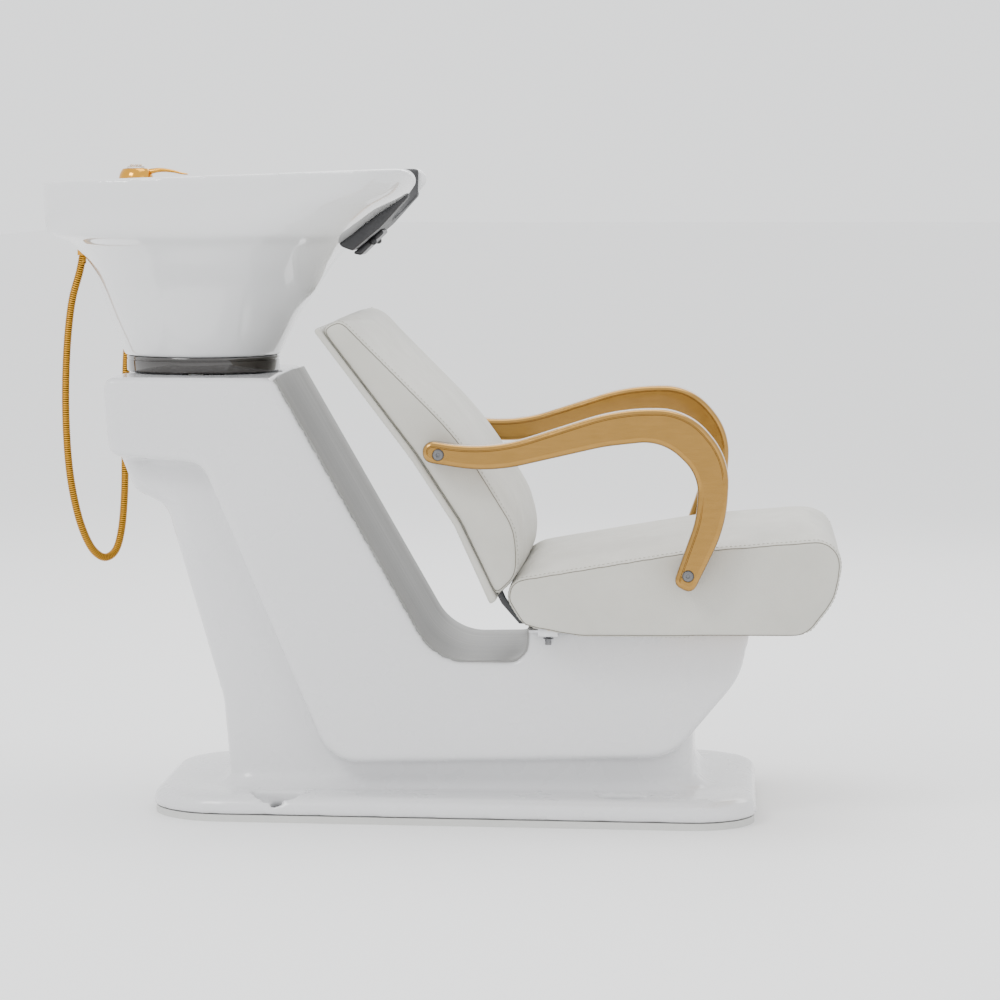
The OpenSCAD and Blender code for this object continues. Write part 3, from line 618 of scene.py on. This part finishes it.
def tube(name, line, radii, sides=12, unit=MM):
    """A tube along the line with a radius for each of its points, without twist."""
    rings, side = [], None
    for i, p in enumerate(line):
        along = (line[min(len(line) - 1, i + 1)] - line[max(0, i - 1)]).normalized()
        if side is None:
            side = along.orthogonal().normalized()
        side = (side - along * side.dot(along)).normalized()
        other = along.cross(side)
        rings.append([
            p + radii[i] * (side * math.cos(a) + other * math.sin(a))
            for a in (2 * math.pi * k / sides for k in range(sides))
        ])
    return loft(name, rings, unit=unit)


def ribbed_tube(name, route, radius):
    """A tube wound from metal strip: its radius and a per-point value rise and fall once a pitch; the value
    also paints the grooves dark as painted shade.
    """
    line = resample(route, RIB_PITCH / RIB_STEPS, closed=False)
    ribs = [0.5 + 0.5 * math.cos(2 * math.pi * i / RIB_STEPS) for i in range(len(line))]
    hose = tube(name, line, [radius - RIB_DEPTH * (1 - rib_height_and_shade) for rib_height_and_shade in ribs], HOSE_SIDES)
    # These values darken the grooves in the hose's material as painted shade.
    values = [rib_height_and_shade for rib_height_and_shade in ribs for _ in range(HOSE_SIDES)]
    hose.data.attributes.new("rib_height_and_shade", "FLOAT", "POINT").data.foreach_set("value", values)
    return shade_smooth(hose)


def make_hose():
    smooth = spline(HOSE_ROUTE, 12)
    hose = ribbed_tube("spray_hose", smooth, HOSE_D / 2)
    finish_piece(hose, "basin", ["hose"], MATERIALS["hose"])
    x, y, top = HOSE_ROUTE[0]
    riser_line = [Vector((x, y, top - 12)), Vector((x, y, top + 11.8))]
    riser = ribbed_tube("hose_riser", riser_line, HOSE_D / 2 - 0.6)
    riser.data.materials.append(MATERIALS["hose"])
    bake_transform(riser)


make_hose()


# ---- Pedestal and base ----

BASE_LEN, BASE_FRONT_W, BASE_REAR_W = 866, 540, 440
BOLT_X, BOLT_Y = 245, 190
FLARE, FLARE_Z, FLARE_STEPS = 34, 38, 8
TILT_X = -374
OPENING_R = 112.5
HEAD_TOP = 626
SIDE_HALF = 190
COLUMN_HALF = 150
DECK_Z = 233
SIDE_OUTLINE = [
    (-493, HEAD_TOP, 14), (-485, 515, 18), (-353, 504, 28), (-172, 79, 60), (312, 90, 70),
    (408, 205, 110), (424, 275, 6), (109, 275, 4), (106, 228, 26), (-20, 226, 80), (-248, HEAD_TOP, 6),
]
COLUMN_OUTLINE = [
    (-480, 520, 2), (-457, 462, 30), (-411, 440, 35), (-331, 165, 100), (-318, 20, 2),
    (343, 20, 2), (343, 125, 2), (0, 170, 2), (-250, 520, 2),
]
LINER_STATIONS = 100
LINER_LINE = [(-248, HEAD_TOP, 0), (-20, 226, 80), (106, 228, 26), (109, 275, 0)]


def base_ring(edge, z):
    """The base's plan, moved inside by edge."""
    x = BASE_LEN / 2 - edge
    front, rear = BASE_FRONT_W / 2 - edge, BASE_REAR_W / 2 - edge
    plan = [(x, -front, 90), (x, front, 90), (-x, rear, 110), (-x, -rear, 110)]
    return [(p.x, p.y, z) for p in rounded(plan, 12)]


def foot_ring(grow, z):
    """The column's plan, moved outside by grow."""
    plan = [
        (343 + grow, -COLUMN_HALF - grow, 42 + grow), (343 + grow, COLUMN_HALF + grow, 42 + grow),
        (-318 - grow, COLUMN_HALF + grow, 30 + grow), (-318 - grow, -COLUMN_HALF - grow, 30 + grow),
    ]
    return [(p.x, p.y, z) for p in rounded(plan, 10)]


def liner_edge(moved):
    """The liner's line moved out of the pedestal by that much, as points."""
    ends = [Vector(p[:2]) for p in LINER_LINE]
    first, last = ends[0] + (ends[0] - ends[1]) * 0.2, ends[3] + (ends[3] - ends[2]) * 0.6
    corners = [(first.x, first.y, 0), LINER_LINE[1], LINER_LINE[2], (last.x, last.y, 0)]
    n = len(corners)
    out = []
    for i in range(n):
        b = Vector(corners[i][:2])
        a = Vector(corners[i - 1][:2]) if i else 2 * b - Vector(corners[1][:2])
        c = Vector(corners[i + 1][:2]) if i < n - 1 else 2 * b - Vector(corners[n - 2][:2])
        u, v = (b - a).normalized(), (c - b).normalized()
        n1, n2 = Vector((-u.y, u.x)), Vector((-v.y, v.x))
        q = b + (n1 + n2) * moved / (1 + n1.dot(n2))
        out.append((q.x, q.y, corners[i][2] - moved if corners[i][2] else 0))
    line = []
    for i, (x, z, radius) in enumerate(out):
        if radius:
            line += corner(Vector(out[i - 1][:2]), Vector((x, z)), Vector(out[i + 1][:2]), radius, 16)
        else:
            line.append(Vector((x, z)))
    return line


def make_pedestal_skin(voxel=4.6):
    """The column, its raised side form, the flared foot and the base cover as one moulding."""
    side_form = soft_prism("pedestal_skin", SIDE_OUTLINE, SIDE_HALF, 9)
    column = soft_prism("column", COLUMN_OUTLINE, COLUMN_HALF, 26, edge_steps=6)
    cover_steps = [
        (1, 10.5), (0, 13), (0, 20), (1.5, 26), (6, 32.5), (14, 37), (26, 39.5), (44, 40), (80, 40),
    ]
    cover = loft("cover", [base_ring(d, z) for d, z in cover_steps])
    flare = []
    for i in range(FLARE_STEPS + 1):
        a = math.pi / 2 * i / FLARE_STEPS
        flare.append(foot_ring(FLARE * (1 - math.sin(a)), FLARE_Z + FLARE * (1 - math.cos(a))))
    foot = loft("foot", [foot_ring(FLARE, 20), *flare])
    for x in (-BOLT_X, BOLT_X):
        for y in (-BOLT_Y, BOLT_Y):
            cut(cover, lathe("pocket", [(36, 15), (36, 30), (40, 60)], (x, y), 48))
            cut(cover, hole("bolt_hole", (x, y), 12, 0, 30, 32))
    channel = liner_edge(8)[::-1] + liner_edge(-7)
    cut(side_form, loft("channel", [upright(channel, -SIDE_HALF + 6), upright(channel, SIDE_HALF - 6)]))
    cut(side_form, block("deck", (118, -SIDE_HALF + 13, DECK_Z), (460, SIDE_HALF - 13, 320)))
    cut(side_form, hole("opening", (TILT_X, 0), OPENING_R, 548, 640, 96))
    gather(side_form, column, cover, foot)
    skin(side_form, voxel, 5)
    return finish_piece(side_form, "pedestal", ["pedestal_shell", "base_cover"],
                        MATERIALS["pedestal"])


def make_liner():
    """A laminate strip laid down the front slope, dished between two creases."""
    half, crease, dish, thick = SIDE_HALF - 7.5, 140, 5, 3
    across = [(-half, 0), (-half + 1, 0.8), (-crease - 2, 0.8), (-crease + 2, 0.4)]
    across += [(y, -dish * (1 - (y / (crease - 2)) ** 4)) for y in range(-126, 127, 14)]
    across += [(-y, lift) for y, lift in across[:4][::-1]]
    top = [(y, liner_clip(liner_edge(lift - 0.8))) for y, lift in across]
    under = [(y, liner_clip(liner_edge(min(lift, 0) - 0.8 - thick))) for y, lift in across[::-1]]
    rings = [[(line[i].x, y, line[i].y) for y, line in top + under] for i in range(LINER_STATIONS)]
    strip = loft("slope_liner", rings)
    shade_smooth(strip, 30)
    return from_node("front_liner", strip)


def liner_clip(line):
    """The liner's line, ended just under the head's top and the lips' top."""
    fine = resample(line, 1.5, closed=False)
    kept = [p for p in fine if p.y < (HEAD_TOP - 1.5 if p.x < 0 else 273.5)]
    return resample(kept, line_length(kept) / (LINER_STATIONS - 1), closed=False)


make_pedestal_skin()
make_liner()


# ---- Basin ----

BOWL_OUTER = [
    (650, -487, -262, 112, 2), (700, -506, -238, 128, 2.1), (750, -522, -205, 154, 2.2),
    (786, -536, -181, 188, 2.4), (812, -560, -156, 214, 2.6), (828, -590, -139, 236, 3),
    (856, -593, -104, 246, 3.2), (886, -593, -62, 249, 3.4), (935, -593, -32, 250, 3.6),
]
BOWL_INNER = [
    (690, -452, -280, 90, 2), (712, -466, -262, 118, 2), (760, -476, -232, 152, 2.2),
    (800, -470, -176, 186, 2.4), (830, -462, -140, 210, 2.6), (870, -456, -96, 226, 3),
    (980, -452, -62, 234, 3.4),
]
TAP = (-488, 110)
SPRAY = (-550, 0)
BASIN_BOTTOM, BASIN_DECK = 650, 852
RIM_REAR, RIM_FRONT = (-593, 902), (-46, 921)
NOTCH_Z, NOTCH_R = 935, 95
EAR_TIP, EAR_BACK = (-38, 922), (-66, 874)


def power(v, e):
    """v to the power e, with v's sign kept."""
    return math.copysign(abs(v) ** e, v)


def station(s, count=160):
    """A level ring of the basin: z, its rear and front, half its width, and how square it is."""
    z, rear, front, half, square = s
    return [
        ((rear + front) / 2 + (front - rear) / 2 * power(math.cos(a), 2 / square),
         half * power(math.sin(a), 2 / square), z)
        for a in (2 * math.pi * (i + 0.5) / count for i in range(count))
    ]


def smooth_stations(stations, parts=6):
    """More stations between the given ones, on a curve that never overshoots."""
    rises = [[(b[k] - a[k]) / (b[0] - a[0]) for k in range(5)] for a, b in zip(stations, stations[1:])]
    turns = [[limited(p, q) for p, q in zip(*pair)] for pair in zip(rises, rises[1:])]
    slopes = [rises[0], *turns, rises[-1]]
    out = []
    for i, (a, b) in enumerate(zip(stations, stations[1:])):
        h = b[0] - a[0]
        for t in (j / parts for j in range(parts)):
            out.append(tuple(
                a[k] * (2 * t ** 3 - 3 * t * t + 1) + h * slopes[i][k] * (t ** 3 - 2 * t * t + t)
                + b[k] * (3 * t * t - 2 * t ** 3) + h * slopes[i + 1][k] * (t ** 3 - t * t)
                for k in range(5)
            ))
    return out + [stations[-1]]


def limited(a, b):
    """A slope between two rises, level where one goes up and the other down."""
    return 0 if a * b <= 0 else 2 * a * b / (a + b)


def rim_cutter():
    """All that is above the rim's slope, and in front of the ears' rounded tips."""
    (x0, z0), (x1, z1) = RIM_REAR, RIM_FRONT
    slope = (z1 - z0) / (x1 - x0)
    line = rounded([(-700, z0 - slope * 107, 0), (EAR_TIP[0], z1 + slope * (EAR_TIP[0] - x1), 20),
                    (*EAR_BACK, 0), (60, EAR_BACK[1], 0), (60, 1100, 0), (-700, 1100, 0)])
    return loft("above", [upright(line, -330), upright(line, 330)])


def make_basin():
    bowl = loft("basin_shell", [station(s) for s in smooth_stations(BOWL_OUTER)])
    inner = loft("inner", [station(s) for s in smooth_stations(BOWL_INNER)])
    deck = loft("deck_pocket", [station((z, -578, -62, 233, 3.3)) for z in (BASIN_DECK, 990)])
    cut(deck, block("rear_half", (-620, -300, BASIN_DECK - 20), (-440, 300, 1000)), operation="INTERSECT")
    cut(bowl, inner, deck, rim_cutter(), bar_x("notch", -170, 20, 0, NOTCH_Z, NOTCH_R))
    cut(bowl, hole("tap_hole", TAP, 10, 700, 880, 32), hole("tap_space", TAP, 20, 700, 790, 40))
    cut(bowl, hole("spray_hole", SPRAY, 14, 700, 880, 40), hole("spray_space", SPRAY, 26, 700, 818, 48))
    cut(bowl, hole("waste_hole", (TILT_X, 0), 24, 640, 700, 48))
    skin(bowl, 3.6, 9)
    return from_node("basin", bowl)


def make_collar():
    """A glossy ring with a fine groove near its top."""
    z0, z1, r, bore = HEAD_TOP + 1, BASIN_BOTTOM, 111, 97.5
    profile = [
        (bore, z0 + 1), (bore + 1.5, z0), (r - 2.5, z0), (r - 0.7, z0 + 0.8), (r, z0 + 2.6), (r, z1 - 6),
        (r - 1.2, z1 - 5.4), (r - 1.2, z1 - 4.4), (r, z1 - 3.8), (r, z1 - 1.5), (r - 0.8, z1 - 0.3),
        (r - 2, z1), (bore + 1.5, z1), (bore, z1 - 1),
    ]
    sides = 120
    rings = []
    for i in range(sides):
        a = 2 * math.pi * i / sides
        rings.append([(TILT_X + q * math.cos(a), q * math.sin(a), z) for q, z in profile])
    collar = loft("collar_ring", rings, closed=True)
    shade_smooth(collar, 35)
    return from_node("collar", collar)


def make_neck_rest():
    """The rubber pad, trimmed in front along its outer face and above along the basin's rim."""
    rest = copy_of("neck_rest", "neck_rest_pad")
    face = [(-40, 908.4), (-103.7, 837.6), (-145.8, 802.6), (40, 700), (40, 908.4)]
    cut(rest, loft("free_part", [upright(face, -130), upright(face, 130)]), rim_cutter())
    skin(rest, 2.6, 4)
    return from_node("neck_rest", rest)


make_basin()
make_collar()
make_neck_rest()
softened("neck_rest_clip", 1.8, 3)


# ---- Mixer and spray ----

def make_dome():
    """A round cap, sunk in the middle of its top."""
    z, r = 894, 25.5
    profile = [(r - 1, z), (r, z + 1), (r, z + 8)]
    profile += [(r * math.cos(a), z + 9 + r * math.sin(a)) for a in
                (math.radians(d) for d in range(3, 37, 3))]
    top = profile[-1]
    profile += [(19.2, top[1] + 1.6), (17.6, z + 25.6), (15.4, z + 26.4), (14, z + 26.2), (13.2, z + 25),
                (13.1, z + 24)]
    dome = lathe("mixer_dome_turned", profile, TAP, 80)
    shade_smooth(dome, 30)
    return from_node("mixer_dome", dome)


def make_lever():
    """A blade that leaves the dome, arches over and thins towards its turned-down tip."""
    pivot_x, pivot_z, y = TAP[0] + 12, 911, TAP[1]
    arch = [(-4, 0), (8, 4), (24, 6.5), (42, 5), (57, 1.5), (66, 0.5)]
    route = spline([(pivot_x + x, y, pivot_z + z) for x, z in arch], 8)
    n = len(route)
    rings = []
    for i, p in enumerate(route):
        t = i / (n - 1)
        along = (route[min(n - 1, i + 1)] - route[max(0, i - 1)]).normalized()
        up = Vector((-along.z, 0, along.x))
        wide = 4.6 + 3.2 * math.sin(math.pi * min(1, t * 1.05)) * t
        tall = (4.2 * (1 - t) ** 1.3 + 1.1) * (1 if t < 0.97 else 0.6)
        rings.append([
            p + Vector((0, 1, 0)) * wide * math.cos(a) * (1 if t < 0.96 else 0.75) + up * tall * math.sin(a)
            for a in (2 * math.pi * k / 20 for k in range(20))
        ])
    lever = loft("mixer_lever_blade", rings)
    shade_smooth(lever, 50)
    return from_node("mixer_lever", lever)


make_dome()
make_lever()
bevelled("mixer_base", 1.0)
bevelled("mixer_nut", 0.8)
bevelled("mixer_cap", 0.8)
bevelled("handset_holder", 0.8)
softened("handset_body", 1.2, 5)
bevelled("handset_rose", 1.2)
bevelled("waste_outlet", 0.8)
bevelled("strainer", 0.4, 2)


# ---- Upholstery ----

SEAT_OUTLINE = [
    (88, 350, 24), (82, 322, 18), (106, 283, 20), (180, 269, 120), (500, 270, 40), (542, 325, 80),
    (556, 412, 36), (345, 394, 300),
]
BACK_PAD = [
    (-148, 714, 16), (-178, 698, 10), (-43, 521, 300), (17, 429, 60), (67, 324, 8), (100, 355, 40),
    (98, 420, 90), (20, 546, 500),
]
REAR_LINE = [(-178, 698), (-43, 521), (17, 429), (67, 324)]
PAD_HALF = 254.5
PAD_VOXEL = 5.5
CLOTH_FRAMES = 20
SEAM_DEEP, SEAM_WIDE = 1.6, 2.6
PIPING_R, PIPING_LIFT = 0.8, -0.1
HEM, STITCH_PITCH = 9, 6.4
PANEL_HALF = 258
PANEL_OUTLINE = [
    (-179, 701, 3), (-186, 696, 3), (-50, 517, 300), (10, 425, 60), (60, 314.5, 3), (70, 322, 3),
    (17.5, 430, 60), (-42.5, 522, 300),
]
PANEL_HEM = [(-186, 694), (-120, 607), (-52, 517), (-20, 470), (9, 424), (35, 372), (58, 318)]
ARM_SEAT, ARM_BACK = (336, 361), (-9, 527)
CHEEK_OUT = 246


def seam_ring(corners, y, moved):
    """The outline's points at y, moved inside by moved."""
    line = resample(rounded(inset(corners, moved), 10), 3)
    return [Vector((p.x, y, p.y)) for p in line]


def inflate(obj, voxel, seams, keep_flat, cap):
    """Swells a leather form by cloth pressure between its seams. cap is how far a point may move
    along X and Z, and along Y. keep_flat says which points rest on something."""
    skin(obj, voxel, 2)
    tree = KDTree(sum(len(s) for s in seams))
    for k, p in enumerate(p for s in seams for p in s):
        tree.insert(p * MM, k)
    tree.balance()
    held = obj.vertex_groups.new(name="held")
    for v in obj.data.vertices:
        near = tree.find(v.co)[2] / MM
        weight = 1.0 if keep_flat(v.co / MM) else max(0.0, 1 - near / 9)
        if weight > 0:
            held.add([v.index], weight, "REPLACE")
    rest = [v.co.copy() for v in obj.data.vertices]
    change = obj.modifiers.new("pressure", "CLOTH")
    change.settings.quality = 4
    change.settings.mass = 0.3
    change.settings.tension_stiffness = 12
    change.settings.compression_stiffness = 12
    change.settings.bending_stiffness = 0.6
    change.settings.use_pressure = True
    change.settings.uniform_pressure_force = 4
    change.settings.effector_weights.gravity = 0
    change.settings.vertex_group_mass = "held"
    change.collision_settings.use_collision = False
    change.point_cache.frame_start, change.point_cache.frame_end = 1, CLOTH_FRAMES
    for f in range(1, CLOTH_FRAMES + 1):
        scene.frame_set(f)
    settle(obj)
    scene.frame_set(1)
    for v, start in zip(obj.data.vertices, rest):
        move = (v.co - start) / MM
        flat = math.hypot(move.x, move.z)
        k = cap[0] * math.tanh(flat / cap[0]) / flat if flat > 1e-6 else 0
        v.co = start + Vector((move.x * k, cap[1] * math.tanh(move.y / cap[1]), move.z * k)) * MM
    change = obj.modifiers.new("even", "SMOOTH")
    change.factor, change.iterations = 0.5, 4
    change = obj.modifiers.new("finer", "SUBSURF")
    change.levels = change.render_levels = 1
    settle(obj)
    return shade_smooth(obj)


def on_surface(obj, line, lift):
    """The line laid on obj's surface and raised by lift: points and the surface's normals there."""
    mesh = obj.data
    tree = BVHTree.FromPolygons([v.co for v in mesh.vertices], [tuple(p.vertices) for p in mesh.polygons])
    found = [tree.find_nearest(p * MM)[:2] for p in line]
    return [(co / MM + normal * lift, normal) for co, normal in found]


def press_seam(obj, lines, deep, wide):
    """Draws the leather in along the lines."""
    points = [p for line in lines for p in line]
    tree = KDTree(len(points))
    for k, p in enumerate(points):
        tree.insert(p * MM, k)
    tree.balance()
    drawn = [v.co - v.normal * deep * MM * math.exp(-(tree.find(v.co)[2] / MM / wide) ** 2)
             for v in obj.data.vertices]
    for v, place in zip(obj.data.vertices, drawn):
        v.co = place


def seam_tube(name, obj, lines, radius, lift, body):
    """Piping on obj's surface along the closed lines, coloured dark as painted shade of the seam."""
    tubes = []
    for k, line in enumerate(lines):
        laid = [p for p, _ in on_surface(obj, line, lift)]
        laid = resample(laid, 4)
        laid.append(laid[0].copy())
        tubes.append(tube(f"{name}_{k}", laid, [radius] * len(laid), 6))
    whole = gather(*tubes)
    whole.name = name
    shade_smooth(whole)
    return finish_piece(whole, body, (), SEAM_SHADE)


def stitches(name, obj, lines, pitch, body, length=4.2, radius=0.55):
    """Thread lying on the leather in short lengths along the lines."""
    verts, faces = [], []
    sides, steps = 6, 5
    for line in lines:
        laid = on_surface(obj, resample(line, pitch), 0.15)
        for i, (p, normal) in enumerate(laid):
            along = (laid[(i + 1) % len(laid)][0] - laid[i - 1][0])
            if along.length < 1e-6:
                continue
            along.normalize()
            side = along.cross(normal).normalized()
            base = len(verts)
            for j in range(steps):
                t = j / (steps - 1)
                r = radius * (0.35 + 0.65 * math.sin(math.pi * t) ** 0.5)
                centre = p + along * length * (t - 0.5) + normal * 0.35 * (math.sin(math.pi * t) - 0.6)
                verts += [centre + r * (side * math.cos(a) + normal * math.sin(a))
                          for a in (2 * math.pi * k / sides for k in range(sides))]
            for j in range(steps - 1):
                for k in range(sides):
                    q = (k + 1) % sides
                    faces.append((base + j * sides + k, base + j * sides + q,
                                  base + (j + 1) * sides + q, base + (j + 1) * sides + k))
            faces.append(tuple(base + k for k in range(sides))[::-1])
            faces.append(tuple(base + (steps - 1) * sides + k for k in range(sides)))
    thread_piece = piece(name, verts, faces)
    shade_smooth(thread_piece)
    return finish_piece(thread_piece, body, (), THREAD)


def crowned_pad(name, corners, crown, crown_side):
    """A pad's form: soft_prism with the side where the sitter rests raised along the middle."""
    rings = []
    edge = 7
    ys = [PAD_HALF - edge * (1 - math.cos(math.pi / 2 * i / 4)) for i in range(5)]
    ds = [edge * (1 - math.sin(math.pi / 2 * i / 4)) for i in range(5)]
    stations_y = [(-y, d) for y, d in zip(ys, ds)]
    stations_y += [(y, 0) for y in (-236, -220, -190, -150, -100, -50, 0, 50, 100, 150, 190, 220, 236)]
    stations_y += [(y, d) for y, d in zip(ys[::-1], ds[::-1])]
    for y, d in stations_y:
        line = rounded(inset(corners, d) if d > 0.01 else corners, 10)
        rise = crown * max(0.0, 1 - abs(y / (PAD_HALF - 10)) ** 3.2)
        ring = []
        for i, p in enumerate(line):
            ahead, behind = line[(i + 1) % len(line)], line[i - 1]
            along = (ahead - behind).normalized()
            outward = Vector((along.y, -along.x))
            share = max(0.0, outward.dot(crown_side)) ** 1.5
            q = p + outward * rise * share
            ring.append((q.x, y, q.y))
        rings.append(ring)
    return loft(name, rings)


def on_pan(p):
    """True where the seat's pad lies on its board."""
    return p.z < 296 and 56 < p.x < 504 and abs(p.y) < CHEEK_OUT + 2


def on_rear(p):
    """True where the backrest's pad lies on its rear panel."""
    for (x0, z0), (x1, z1) in zip(REAR_LINE, REAR_LINE[1:]):
        a, b, q = Vector((x0, z0)), Vector((x1, z1)), Vector((p.x, p.z))
        t = max(0.0, min(1.0, (q - a).dot(b - a) / (b - a).length_squared))
        if (q - a.lerp(b, t)).length < 9:
            return True
    return False


def make_seat():
    pad = crowned_pad("seat_pad", SEAT_OUTLINE, 10, Vector((0, 1)))
    cut(pad, block("pan_space", (60, -CHEEK_OUT, 240), (500, CHEEK_OUT, 290)))
    seams = [seam_ring(SEAT_OUTLINE, s * PAD_HALF, 1) for s in (-1, 1)]
    inflate(pad, PAD_VOXEL, seams, on_pan, (9, 3.0))
    press_seam(pad, seams, SEAM_DEEP, SEAM_WIDE)
    finish_piece(pad, "seat", ["seat_cushion"], MATERIALS["leather"])
    seam_tube("seat_seam", pad, seams, PIPING_R, PIPING_LIFT, "seat")
    lines = [seam_ring(SEAT_OUTLINE, s * (PAD_HALF - HEM), -1) for s in (-1, 1)]
    stitches("seat_stitching", pad, lines, STITCH_PITCH, "seat")


def make_back():
    pad = crowned_pad("back_pad", BACK_PAD, 11, Vector((0.83, 0.56)))
    seams = [seam_ring(BACK_PAD, s * PAD_HALF, 1) for s in (-1, 1)]
    inflate(pad, PAD_VOXEL, seams, on_rear, (10, 3.0))
    press_seam(pad, seams, SEAM_DEEP, SEAM_WIDE)
    finish_piece(pad, "seat", ["back_cushion"], MATERIALS["leather"])
    seam_tube("back_seam", pad, seams, PIPING_R, PIPING_LIFT, "seat")
    lines = [seam_ring(BACK_PAD, s * (PAD_HALF - HEM), -1) for s in (-1, 1)]
    stitches("back_stitching", pad, lines, STITCH_PITCH, "seat")


def make_rear_panel():
    """The leather-covered board behind the pad, with a soft edge and a topstitched hem."""
    panel = soft_prism("back_rear_panel", PANEL_OUTLINE, PANEL_HALF, 3.2, steps=8, edge_steps=4)
    skin(panel, 2.6, 2)
    hem = resample(PANEL_HEM, 3, closed=False)
    seams = [[Vector((p.x, s * (PANEL_HALF - HEM), p.y)) for p in hem] for s in (-1, 1)]
    press_seam(panel, seams, 0.8, 2.2)
    finish_piece(panel, "seat", ["back_panel"], MATERIALS["leather"])
    stitches("panel_stitching", panel, seams, STITCH_PITCH, "seat")


make_seat()
make_back()
make_rear_panel()


# ---- Armrests ----

ARM_IN, ARM_OUT = 262, 300
BORE_R = 8.6
ARM_OUTLINE = [
    (342, 335, 12), (388, 430, 200), (393, 522, 100), (336, 591, 90), (240, 591, 300), (60, 533, 250),
    (-32, 548, 14), (-30, 517, 14), (60, 502, 250), (220, 539, 300), (300, 548, 70), (350, 500, 60),
    (347, 440, 150), (315, 349, 12),
]


def make_armrest(node, side):
    """A plank with rounded edges and a fine groove along the upper edge of both faces."""
    line = resample(rounded(ARM_OUTLINE, 14), 5)
    n = len(line)
    outward = []
    for i in range(n):
        along = (line[(i + 1) % n] - line[i - 2]).normalized()
        outward.append(Vector((along.y, -along.x)))
    profile = [
        (11, 0, 0), (8.2, 0, 0), (7.6, 1.4, 1), (6.6, 1.4, 1), (6.0, 0.2, 0), (3.4, 1.0, 0),
        (1.5, 2.6, 0), (0.3, 5.0, 0), (0, 8.0, 0),
    ]
    half = (ARM_OUT - ARM_IN) / 2
    mid = (ARM_OUT + ARM_IN) / 2
    rings = []
    for face in (1, -1):
        rows = []
        for d, drop, groove in profile:
            ring = []
            for p, out in zip(line, outward):
                upper = min(1.0, max(0.0, out.y * 1.6 + 0.35))
                depth = drop * (upper if groove else 1)
                q = p - out * d
                ring.append((q.x, side * (mid + face * (half - depth)), q.y))
            rows.append(ring)
        rings += rows if face == 1 else rows[::-1]
    arm = loft(node + "_plank", rings)
    for x, z in (ARM_SEAT, ARM_BACK):
        circle = [(x + BORE_R * math.cos(a), z + BORE_R * math.sin(a))
                  for a in (2 * math.pi * k / 40 for k in range(40))]
        cut(arm, loft("bore", [upright(circle, side * y) for y in (ARM_OUT - 3, ARM_OUT + 3)]))
    shade_smooth(arm, 32)
    return from_node(node, arm)


make_armrest("armrest_left", 1)
make_armrest("armrest_right", -1)
bevelled("arm_screws", 0.6)
bevelled("arm_spacers", 0.6, 2)
for part in (
    "lock_bar", "lock_bracket", "lock_pin", "access_cover", "access_screws", "hinge_left", "hinge_right",
    "slide_rail_left", "slide_rail_right", "carriage", "slide_buffers", "tilt_plate",
):
    bevelled(part, 0.8, 2)


# ---- Floor and light ----

def make_stage():
    """A plain floor in metres, reaching from behind the camera to far behind the object."""
    half, near, far = 9, -7, 60
    corners = [(-half, near, 0), (half, near, 0), (half, far, 0), (-half, far, 0)]
    floor = piece("studio_floor", corners, [(0, 1, 2, 3)], 1.0)
    s = Shade("studio_white", (0.93, 0.93, 0.93), 0.6)
    s.colors(s.noise(0.6), (0.925, 0.925, 0.925), (0.94, 0.94, 0.94))
    floor.data.materials.append(s.material)


def light(name, place, aim, size, power_w):
    """A rectangular lamp at place, in metres, that looks at aim."""
    lamp = bpy.data.lights.new(name, "AREA")
    lamp.shape = "RECTANGLE"
    lamp.size, lamp.size_y = size
    lamp.energy = power_w
    obj = bpy.data.objects.new(name, lamp)
    scene.collection.objects.link(obj)
    obj.location = place
    obj.rotation_euler = (Vector(aim) - Vector(place)).to_track_quat("-Z", "Y").to_euler()


make_stage()
world = bpy.data.worlds.new("studio")
scene.world = world
world.use_nodes = True
world.node_tree.nodes["Background"].inputs["Color"].default_value = (0.95, 0.96, 0.97, 1)
world.node_tree.nodes["Background"].inputs["Strength"].default_value = 1.7
light("key", (-2.2, -2.8, 3.4), (0, 0, 0.45), (1.6, 1.2), 70)
light("fill", (3.0, -2.6, 1.8), (0.1, 0, 0.45), (2.2, 2.0), 8)
light("top", (0.2, 0.4, 3.6), (0, 0, 0.4), (3.0, 2.0), 60)
light("back", (0.6, 3.4, 2.4), (0, 0, 0.5), (2.6, 1.6), 30)
